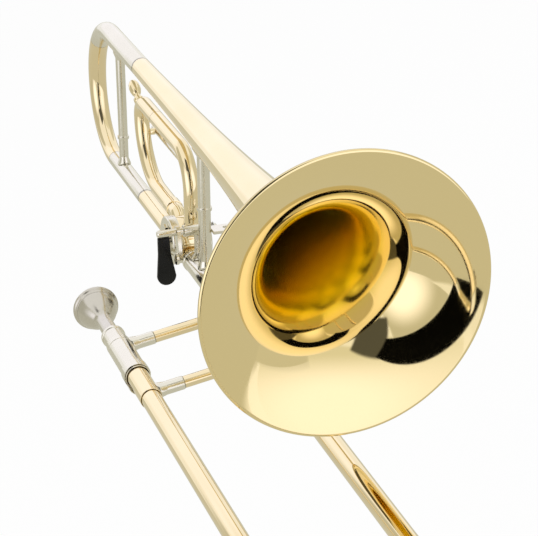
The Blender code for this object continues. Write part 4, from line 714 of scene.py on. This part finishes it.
# %% [markdown]
# ## Sawn and filed parts
# Arms, links, plates and levers are sawn from sheet and filed, so their faces are flat and their edges
# are broken. They could be cut anew, but their CAD outlines are right already. So a copy is welded, its
# flat faces are joined up again, and a Bevel modifier breaks the edges, which keeps the outline's size.

# %% Filed copies
def joined_copy(node, place):
    """A welded copy whose flat faces are joined up again."""
    bm = merged_copy(node, place)
    bmesh.ops.dissolve_limit(bm, angle_limit=math.radians(1), verts=bm.verts, edges=bm.edges)
    return bm


def filed_copy(node, place, width, segments=3):
    """A copy of a sawn part with broken edges of a width in millimetres."""
    piece = finish_piece(node + "_filed", joined_copy(node, place), node, place)
    bevel = piece.modifiers.new("filed edges", "BEVEL")
    bevel.width = width * MM
    bevel.segments = segments
    bevel.limit_method = "ANGLE"
    bevel.angle_limit = math.radians(CORNER)
    bevel.use_clamp_overlap = True


for node in ("brace_plate", "stop_arm", "link_rod", "lever_bracket", "thumb_lever"):
    filed_copy(node, BELL, 0.3)
for node in ("water_key_lever", "water_key_saddle", "slide_lock_ring"):
    filed_copy(node, SLIDE, 0.15)
filed_copy("thumb_paddle", BELL, 0.5, 4)
print("filed parts ready, pieces so far:", len(made))

# %% [markdown]
# ## The water key's leaf spring
# A bent strip of spring steel presses on the key's thumb end, and it gives as the key opens. It could stay
# rigid, but the lever would then cut through it. Here the piece is a welded copy with eased edges and a
# mesh of its own.

# %% Leaf spring
bm = joined_copy("water_key_spring", SLIDE)
round_rims(bm, 0.1 * MM)
spring = finish_piece("water_key_spring_skin", bm, "water_key_spring")
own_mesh(spring)

# %% [markdown]
# ## Turned ornaments
# The mouthpiece and the pull knob were turned with flowing curves. A Subdivision modifier on the finished
# shape would round everything alike. Their sections have few points, so the section is subdivided before
# it is spun, and the mouthpiece's is smoothed too, which rounds the curves but keeps the length. The ring
# on the mouthpiece's cup is a shallow groove.

# %% Mouthpiece and pull knob
CUP_RING = 6.5
KNOB_ANGLE = math.radians(152)
LONG_EDGE = 0.8 * MM


def flowing_section(bm, rounds):
    """Subdivide a section and ease its corners a number of times."""
    bmesh.ops.subdivide_edges(bm, edges=[e for e in bm.edges if e.calc_length() > LONG_EDGE], cuts=2)
    free = [v for v in bm.verts if len(v.link_edges) == 2]
    for _ in range(rounds):
        bmesh.ops.smooth_vert(bm, verts=free, factor=0.5, use_axis_x=True, use_axis_y=True, use_axis_z=True)


def ornament(node, place, axis, rounds, steps, last=None):
    """Spin a flowing section, and give it a last cut if there is one."""
    bm, middle = section_of(node, place, axis)
    flowing_section(bm, rounds)
    spin_section(bm, axis, steps)
    if last:
        last(bm)
    bmesh.ops.translate(bm, verts=bm.verts, vec=middle)
    return finish_piece(node + "_skin", bm, node, place, sharp=60)


def cup_ring(bm):
    """The fine line round the mouthpiece's cup."""
    dark_groove(bm, min(v.co.x for v in bm.verts) / MM + CUP_RING, width=1.6, depth=0.45, polish=0.3)


bow_corner = flat_point(LOOP_BACK + TIGHT_BEND, LOOP_TOP - TIGHT_BEND)
KNOB = BELL @ Matrix.Translation(bow_corner) @ Matrix.Rotation(math.pi / 2 - KNOB_ANGLE, 4, "Y")
mouthpiece = ornament("mouthpiece", SLIDE, "X", rounds=4, steps=96, last=cup_ring)
ornament("loop_pull_knob", KNOB, "Z", rounds=0, steps=TUBE_SIDES)
print("mouthpiece:", len(mouthpiece.data.polygons), "faces")

# %% [markdown]
# # Finishes
# Every finish is built from a few small groups of shader nodes. The first are a pattern that is fixed to
# the object and a range of values. They could be wired again for each material. Small helpers that each
# return the socket to go on from keep the wiring short and the same everywhere.

# %% Patterns and ranges
def new_finish(name):
    """A material with its nodes, its links and its main shader."""
    material = bpy.data.materials.new(name)
    material.use_nodes = True
    nodes = material.node_tree.nodes
    shader = next(n for n in nodes if n.type == "BSDF_PRINCIPLED")
    return material, nodes, material.node_tree.links, shader


def noise_on_object(nodes, links, scale, detail, stretch=(1, 1, 1)):
    """A cloudy pattern that stays on the object when it moves."""
    where = nodes.new("ShaderNodeTexCoord")
    mapping = nodes.new("ShaderNodeMapping")
    mapping.inputs["Scale"].default_value = stretch
    noise = nodes.new("ShaderNodeTexNoise")
    noise.inputs["Scale"].default_value = scale
    noise.inputs["Detail"].default_value = detail
    links.new(where.outputs["Object"], mapping.inputs["Vector"])
    links.new(mapping.outputs["Vector"], noise.inputs["Vector"])
    return noise.outputs["Fac"]


def ranged(nodes, links, value, low, high, start=0.3, end=0.7):
    """A value from start to end, turned into one from low to high."""
    span = nodes.new("ShaderNodeMapRange")
    span.inputs["From Min"].default_value = start
    span.inputs["From Max"].default_value = end
    span.inputs["To Min"].default_value = low
    span.inputs["To Max"].default_value = high
    links.new(value, span.inputs["Value"])
    return span.outputs["Result"]


print("a finish starts with the nodes", [n.type for n in new_finish("sample")[1]])
bpy.data.materials.remove(bpy.data.materials["sample"])

# %% [markdown]
# ## Blends, marks and relief
# Wear, dirt and painted shade lie over a metal's own tone, and fine lines in its surface. They could be
# painted into a picture for each piece. Nodes blend the tones where a mark or a pattern says so, and stay
# sharp from near.

# %% Blends, marks and relief
def blended(nodes, links, value, low, high):
    """A colour that goes from low to high with a value. Each is a colour or a socket."""
    blend = nodes.new("ShaderNodeMix")
    blend.data_type = "RGBA"
    links.new(value, blend.inputs["Factor"])
    for end, colour in (("A", low), ("B", high)):
        if isinstance(colour, tuple):
            blend.inputs[end].default_value = (*colour, 1.0)
        else:
            links.new(colour, blend.inputs[end])
    return blend.outputs["Result"]


def combined(nodes, links, operation, first, second):
    """Two values added or multiplied, kept from 0 to 1."""
    join = nodes.new("ShaderNodeMath")
    join.operation = operation
    join.use_clamp = True
    links.new(first, join.inputs[0])
    links.new(second, join.inputs[1])
    return join.outputs[0]


def marked(nodes, name):
    """A mark that was left on the mesh's vertices, from 0 to 1."""
    mark = nodes.new("ShaderNodeAttribute")
    mark.attribute_name = name
    return mark.outputs["Fac"]


def relief(nodes, links, shader, height, strength, depth):
    """A fine relief on a shader's surface."""
    bump = nodes.new("ShaderNodeBump")
    bump.inputs["Strength"].default_value = strength
    bump.inputs["Distance"].default_value = depth
    links.new(height, bump.inputs["Height"])
    links.new(bump.outputs["Normal"], shader.inputs["Normal"])


print("node helpers:", [helper.__name__ for helper in (blended, combined, marked, relief)])

# %% [markdown]
# ## Polished metals
# Lacquered brass is polished on a wheel and then sprayed with a clear coat. It could be one gold
# colour. Real lacquer varies a little in depth, shows fine wheel lines under the coat, and has worn to a
# paler metal along edges, so the colour, the roughness and the bump each come from their own pattern. Old
# polish darkens the marked grooves, and painted shade darkens the marked bores and the bell's rim edge.
# Nickel silver and silver plate have no coat.

# %% Metals
# Dark old polish in the grooves, and painted shade in the barrel bores and on the bell's rim edge.
DIRT_AND_SHADE_COLOUR = (0.05, 0.035, 0.02)
EDGE_RUB = 0.18 * MM
CLOUD_SCALE = 18.0
GRAIN_SCALE = 420.0
WHEEL_SCALE = 900.0
ALONG_THE_WHEEL = (0.05, 1.0, 1.0)
WHEEL_DEPTH = 0.02 * MM


def worn_edges(nodes, links):
    """1 where an edge would be rubbed: a rounded normal leaves the true one there."""
    soft = nodes.new("ShaderNodeBevel")
    soft.samples = 4
    soft.inputs["Radius"].default_value = EDGE_RUB
    true = nodes.new("ShaderNodeNewGeometry")
    dot = nodes.new("ShaderNodeVectorMath")
    dot.operation = "DOT_PRODUCT"
    links.new(soft.outputs["Normal"], dot.inputs[0])
    links.new(true.outputs["Normal"], dot.inputs[1])
    return ranged(nodes, links, dot.outputs["Value"], 1.0, 0.0, 0.80, 0.985)


def metal_finish(name, deep, pale, worn, smooth, rough, coat, lines):
    """Polished metal: cloudy tone, rubbed edges, wheel lines and, on brass, a clear coat."""
    material, nodes, links, shader = new_finish(name)
    cloud = noise_on_object(nodes, links, CLOUD_SCALE, 4.0)
    tone = blended(nodes, links, ranged(nodes, links, cloud, 0.0, 1.0), deep, pale)
    rubbed = blended(nodes, links, worn_edges(nodes, links), tone, worn)
    # The mark darkens grooves with old polish, and the bores and the bell's rim edge with painted shade.
    with_dirt_and_shade = blended(nodes, links, marked(nodes, "joint_dirt_and_painted_shade"), rubbed, DIRT_AND_SHADE_COLOUR)
    links.new(with_dirt_and_shade, shader.inputs["Base Color"])
    shader.inputs["Metallic"].default_value = 1.0
    grain = noise_on_object(nodes, links, GRAIN_SCALE, 2.0)
    links.new(ranged(nodes, links, grain, smooth, rough), shader.inputs["Roughness"])
    shader.inputs["Coat Weight"].default_value = coat
    shader.inputs["Coat Roughness"].default_value = 0.04
    wheel = noise_on_object(nodes, links, WHEEL_SCALE, 1.0, ALONG_THE_WHEEL)
    relief(nodes, links, shader, wheel, lines, WHEEL_DEPTH)
    return material


# Each row: deep, pale and worn colours, least and most roughness, clear coat, strength of wheel lines.
finishes = {
    "lacquered_brass": metal_finish("lacquered brass", (0.90, 0.75, 0.47), (0.94, 0.795, 0.52),
                                    (0.95, 0.85, 0.64), 0.035, 0.075, 0.45, 0.04),
    "nickel_silver": metal_finish("nickel silver", (0.77, 0.735, 0.635), (0.83, 0.795, 0.695),
                                  (0.86, 0.83, 0.78), 0.11, 0.20, 0.0, 0.12),
    "silver_plate": metal_finish("silver plate", (0.61, 0.575, 0.505), (0.71, 0.675, 0.60),
                                 (0.82, 0.79, 0.73), 0.17, 0.24, 0.0, 0.02),
    "chromed_tube": metal_finish("chromed tube", (0.66, 0.67, 0.68), (0.72, 0.73, 0.74),
                                 (0.80, 0.81, 0.82), 0.03, 0.07, 0.0, 0.03),
    "spring_steel": metal_finish("spring steel", (0.40, 0.41, 0.43), (0.52, 0.53, 0.55),
                                 (0.62, 0.62, 0.62), 0.22, 0.36, 0.0, 0.20),
}
bell_brass = metal_finish("bell brass", (0.91, 0.765, 0.47), (0.95, 0.81, 0.53), (0.95, 0.86, 0.68),
                          0.03, 0.06, 0.45, 0.02)
print("metals:", len(finishes) + 1)

# %% [markdown]
# ## The bell's inner face
# Light that enters a bell bounces many times between golden walls, so the throat looks deep gold, and the
# buffing wheel can't reach in there. Many more bounces could be traced. Instead the inner face blends to a
# deeper gold with its depth, and turns satin. It reads the mark that was left when the bell was spun.

# %% Inner face
THROAT_STARTS = 0.180
THROAT_BLEND = 0.045
FLARE_GOLD = (0.91, 0.75, 0.41)
THROAT_GOLD = (0.96, 0.85, 0.20)
THROAT_ROUGH = 0.18


def deeper_inside(material):
    """Wire the inner face's colour and roughness in before those of the outer face."""
    nodes, links = material.node_tree.nodes, material.node_tree.links
    shader = next(n for n in nodes if n.type == "BSDF_PRINCIPLED")
    dark = shader.inputs["Base Color"].links[0].from_node
    inside = marked(nodes, "inside")
    where = nodes.new("ShaderNodeTexCoord")
    split = nodes.new("ShaderNodeSeparateXYZ")
    links.new(where.outputs["Object"], split.inputs[0])
    depth = ranged(nodes, links, split.outputs["X"], 0.0, 1.0, THROAT_STARTS, THROAT_STARTS - THROAT_BLEND)
    gold = blended(nodes, links, depth, FLARE_GOLD, THROAT_GOLD)
    outer_face = dark.inputs["A"].links[0].from_socket
    links.new(blended(nodes, links, inside, outer_face, gold), dark.inputs["A"])
    satin = nodes.new("ShaderNodeMix")
    satin.inputs["B"].default_value = THROAT_ROUGH
    links.new(combined(nodes, links, "MULTIPLY", depth, inside), satin.inputs["Factor"])
    links.new(shader.inputs["Roughness"].links[0].from_socket, satin.inputs["A"])
    links.new(satin.outputs["Result"], shader.inputs["Roughness"])


deeper_inside(bell_brass)
print("the bell's brass has", len(bell_brass.node_tree.nodes), "nodes")

# %% [markdown]
# ## Plastic, rubber and cork
# The thumb paddle is black plastic, the bumpers are rubber and the water key's pad is cork. Each could be
# one flat colour. A speckle drives the tone, the roughness and a slight relief together, because on a
# material with grain the dark specks are also the rough ones.

# %% Soft materials
def soft_finish(name, deep, pale, smooth, rough, scale, depth, shine=0.5):
    """No metal, a speckled tone and a fine skin."""
    material, nodes, links, shader = new_finish(name)
    speck = noise_on_object(nodes, links, scale, 5.0)
    tone = blended(nodes, links, ranged(nodes, links, speck, 0.0, 1.0), deep, pale)
    links.new(tone, shader.inputs["Base Color"])
    links.new(ranged(nodes, links, speck, smooth, rough), shader.inputs["Roughness"])
    shader.inputs["Specular IOR Level"].default_value = shine
    relief(nodes, links, shader, speck, 0.4, depth)
    return material


finishes["black_plastic"] = soft_finish("black paddle", (0.004, 0.004, 0.004), (0.009, 0.009, 0.009),
                                        0.20, 0.32, 60.0, 0.02 * MM, 0.2)
finishes["black_rubber"] = soft_finish("black rubber", (0.012, 0.012, 0.012), (0.028, 0.027, 0.026),
                                       0.55, 0.75, 300.0, 0.08 * MM)
finishes["pad_cork"] = soft_finish("pad cork", (0.36, 0.22, 0.11), (0.60, 0.42, 0.24),
                                   0.75, 0.95, 900.0, 0.2 * MM)
print("finishes:", len(finishes) + 1)

# %% [markdown]
# ## Giving out the finishes
# The record names the finish of every node, so nothing has to be listed here again. Each new piece takes
# the finish of the node it stands for, and the CAD nodes that stay, such as the coil spring, take theirs
# too. Only the bell has a brass of its own.

# %% Finishes to pieces
slot_of = {part["node"]: part["material_slot"] for part in frame["record"]["subparts"]}
for name, piece in made.items():
    node = list(piece["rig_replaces"])[0]
    piece.data.materials.append(bell_brass if node == "bell" else finishes[slot_of[node]])
kept = [n for n, obj in frame["nodes"].items() if not obj.hide_render]
for node in kept:
    obj = frame["nodes"][node]
    if not obj.data.materials:
        obj.data.materials.append(finishes[slot_of[node]])
    for index in range(len(obj.material_slots)):
        obj.material_slots[index].material = finishes[slot_of[node]]
print("CAD nodes that stay:", kept)

# %% [markdown]
# # The studio
# Polished metal shows its surroundings more than itself. The photograph's surroundings are white, so
# the world is plain white to the camera and in reflections, and dimmer as a light. A pale floor could
# stand close below, but it would hide in the white. It lies far below and takes only a faint shadow.

# %% World and floor
WORLD_LIGHT = 0.55
FLOOR_Z = -0.40
FLOOR_GLOW = 0.95
FLOOR_HALF = 4.0


def watched_rays(nodes, links):
    """1 for what the camera sees, also in a reflection or through something clear, and 0 for light."""
    seen = nodes.new("ShaderNodeLightPath")
    direct = combined(nodes, links, "ADD", seen.outputs["Is Camera Ray"], seen.outputs["Is Glossy Ray"])
    return combined(nodes, links, "ADD", direct, seen.outputs["Is Transmission Ray"])


world = bpy.data.worlds.new("white studio")
bpy.context.scene.world = world
world.use_nodes = True
nodes, links = world.node_tree.nodes, world.node_tree.links
background = nodes["Background"]
background.inputs["Color"].default_value = (1.0, 1.0, 1.0, 1.0)
links.new(ranged(nodes, links, watched_rays(nodes, links), WORLD_LIGHT, 1.0, 0.0, 1.0),
          background.inputs["Strength"])

bm = bmesh.new()
bmesh.ops.create_grid(bm, x_segments=1, y_segments=1, size=FLOOR_HALF)
bmesh.ops.translate(bm, verts=bm.verts, vec=(0, 0, FLOOR_Z))
floor = object_from("floor", bm)
paper, nodes, links, shader = new_finish("white paper")
shader.inputs["Base Color"].default_value = (0.86, 0.86, 0.86, 1.0)
shader.inputs["Roughness"].default_value = 0.9
glow = nodes.new("ShaderNodeEmission")
glow.inputs["Strength"].default_value = 1.0
share = nodes.new("ShaderNodeMixShader")
links.new(ranged(nodes, links, watched_rays(nodes, links), 0.0, FLOOR_GLOW, 0.0, 1.0), share.inputs["Fac"])
links.new(shader.outputs[0], share.inputs[1])
links.new(glow.outputs[0], share.inputs[2])
links.new(share.outputs[0], nodes["Material Output"].inputs["Surface"])
floor.data.materials.append(paper)
print("the floor lies at", FLOOR_Z, "m")

# %% [markdown]
# ## Lamps
# Two large soft lamps shade the pieces gently. They could be seen in the metal as two bright squares, so
# they are hidden from reflections, and the boards below do that work.

# %% Lamps
LAMP_AIM = (0.0, 0.0, 0.05)


def soft_lamp(name, place, width, height, power):
    """A rectangular lamp that lights the instrument without being seen."""
    lamp = bpy.data.lights.new(name, "AREA")
    lamp.shape = "RECTANGLE"
    lamp.size = width
    lamp.size_y = height
    lamp.energy = power
    holder = bpy.data.objects.new(name, lamp)
    holder.location = place
    holder.visible_camera = False
    holder.visible_glossy = False
    holder.rotation_euler = (Vector(LAMP_AIM) - Vector(place)).to_track_quat("-Z", "Y").to_euler()
    bpy.context.scene.collection.objects.link(holder)


soft_lamp("key_softbox", (0.9, -1.5, 1.6), 1.2, 0.8, 22.0)
soft_lamp("fill_softbox", (-0.4, 1.8, 1.2), 1.0, 1.0, 12.0)

# %% [markdown]
# ## A board for the metal to mirror
# A polished bell is a mirror, so a photographer places what it mirrors. More lamps could do that, but they
# would light the instrument as well. A glowing board that only reflections see leaves the light alone and
# never stands in a picture. Its edges fade, so that no hard line crosses the metal.

# %% One board
WARM_GREY = (1.0, 0.985, 0.84)


def feather(nodes, links, coordinate, half, edge):
    """1 inside a board, falling smoothly to 0 over the last share of its half width."""
    size = nodes.new("ShaderNodeMath")
    size.operation = "ABSOLUTE"
    links.new(coordinate, size.inputs[0])
    fall = nodes.new("ShaderNodeMapRange")
    fall.interpolation_type = "SMOOTHSTEP"
    fall.inputs["From Min"].default_value = half
    fall.inputs["From Max"].default_value = half * (1 - edge)
    links.new(size.outputs[0], fall.inputs["Value"])
    return fall.outputs["Result"]


def board(name, spot, aim, width, height, level, edge, tint=WARM_GREY, round_one=False):
    """A flat board, seen only in reflections. Its level is how bright it looks there: 1 is white."""
    bm = bmesh.new()
    bmesh.ops.create_grid(bm, x_segments=1, y_segments=1, size=0.5)
    bmesh.ops.scale(bm, vec=(width, height, 1), verts=bm.verts)
    sheet = object_from(name, bm)
    sheet.location = spot
    sheet.rotation_euler = (Vector(spot) - Vector(aim)).to_track_quat("Z", "Y").to_euler()
    material = bpy.data.materials.new(name)
    material.use_nodes = True
    nodes, links = material.node_tree.nodes, material.node_tree.links
    shine = nodes.new("ShaderNodeEmission")
    shine.inputs["Color"].default_value = (*tint, 1.0)
    shine.inputs["Strength"].default_value = level
    clear = nodes.new("ShaderNodeBsdfTransparent")
    where = nodes.new("ShaderNodeTexCoord")
    if round_one:
        far = nodes.new("ShaderNodeVectorMath")
        far.operation = "LENGTH"
        links.new(where.outputs["Object"], far.inputs[0])
        shown = feather(nodes, links, far.outputs["Value"], width / 2, edge)
    else:
        split = nodes.new("ShaderNodeSeparateXYZ")
        links.new(where.outputs["Object"], split.inputs[0])
        shown = combined(nodes, links, "MULTIPLY",
                         feather(nodes, links, split.outputs["X"], width / 2, edge),
                         feather(nodes, links, split.outputs["Y"], height / 2, edge))
    mix = nodes.new("ShaderNodeMixShader")
    links.new(shown, mix.inputs["Fac"])
    links.new(clear.outputs[0], mix.inputs[1])
    links.new(shine.outputs[0], mix.inputs[2])
    links.new(mix.outputs[0], nodes["Material Output"].inputs["Surface"])
    sheet.data.materials.append(material)
    for rays in ("camera", "diffuse", "transmission", "volume_scatter", "shadow"):
        setattr(sheet, "visible_" + rays, False)


print("a board is tinted", WARM_GREY, "unless it asks for another tint")

# %% [markdown]
# ## Boards, table and flag
# White boards give the broad pale areas, a grey table and grey walls the quiet ones, and a black flag
# draws the dark shape which tells the eye that the metal is curved. The side walls give the tubes and the
# back of the bell something to mirror. A picture of a studio could be wrapped round the scene. Plain
# boards are used, because each can be moved by hand.

# %% Boards, table and flag
BELL_MOUTH = Vector((0.20, 0.05, 0.11))
TUBES_AIM = (-0.2, 0.0, 0.1)
COOL_WHITE = (0.985, 0.98, 1.06)


def round_the_bell(azimuth, elevation, distance):
    """A place seen from the bell's mouth, by its compass angle and height angle."""
    a, e = math.radians(azimuth), math.radians(elevation)
    level = math.cos(e)
    return BELL_MOUTH + distance * Vector((level * math.cos(a), level * math.sin(a), math.sin(e)))


board("grey_table", (-1.3, 0.0, -0.39), (-1.3, 0.0, 0.0), 6.4, 6.4, 0.63, 0.1)
board("grey_wall_front", round_the_bell(32, 30, 2.8), BELL_MOUTH, 7.4, 5.2, 0.80, 0.15)
board("grey_wall_left", round_the_bell(-66, 15, 2.3), BELL_MOUTH, 3.4, 2.7, 0.62, 0.1)
board("grey_wall_near", (-0.9, -2.3, 0.5), TUBES_AIM, 3.4, 2.8, 0.58, 0.15)
board("grey_wall_far", (-0.3, 2.4, 0.5), TUBES_AIM, 3.6, 2.4, 0.66, 0.15)
board("white_round_front", round_the_bell(27, 13, 2.0), BELL_MOUTH, 5.0, 5.0, 1.28, 0.85, COOL_WHITE, True)
board("white_round_left", round_the_bell(-74, 11, 1.9), BELL_MOUTH, 2.9, 2.9, 1.42, 0.75, COOL_WHITE, True)
board("white_board_back", (-1.9, -0.1, 0.85), (0.0, 0.0, 0.1), 2.6, 1.5, 1.15, 0.4, COOL_WHITE)
board("dim_ceiling", round_the_bell(-37, 62, 1.7), BELL_MOUTH, 1.5, 1.15, 0.10, 0.2)
board("black_flag", round_the_bell(-21, 12, 1.27), BELL_MOUTH, 0.54, 1.9, 0.002, 0.1)
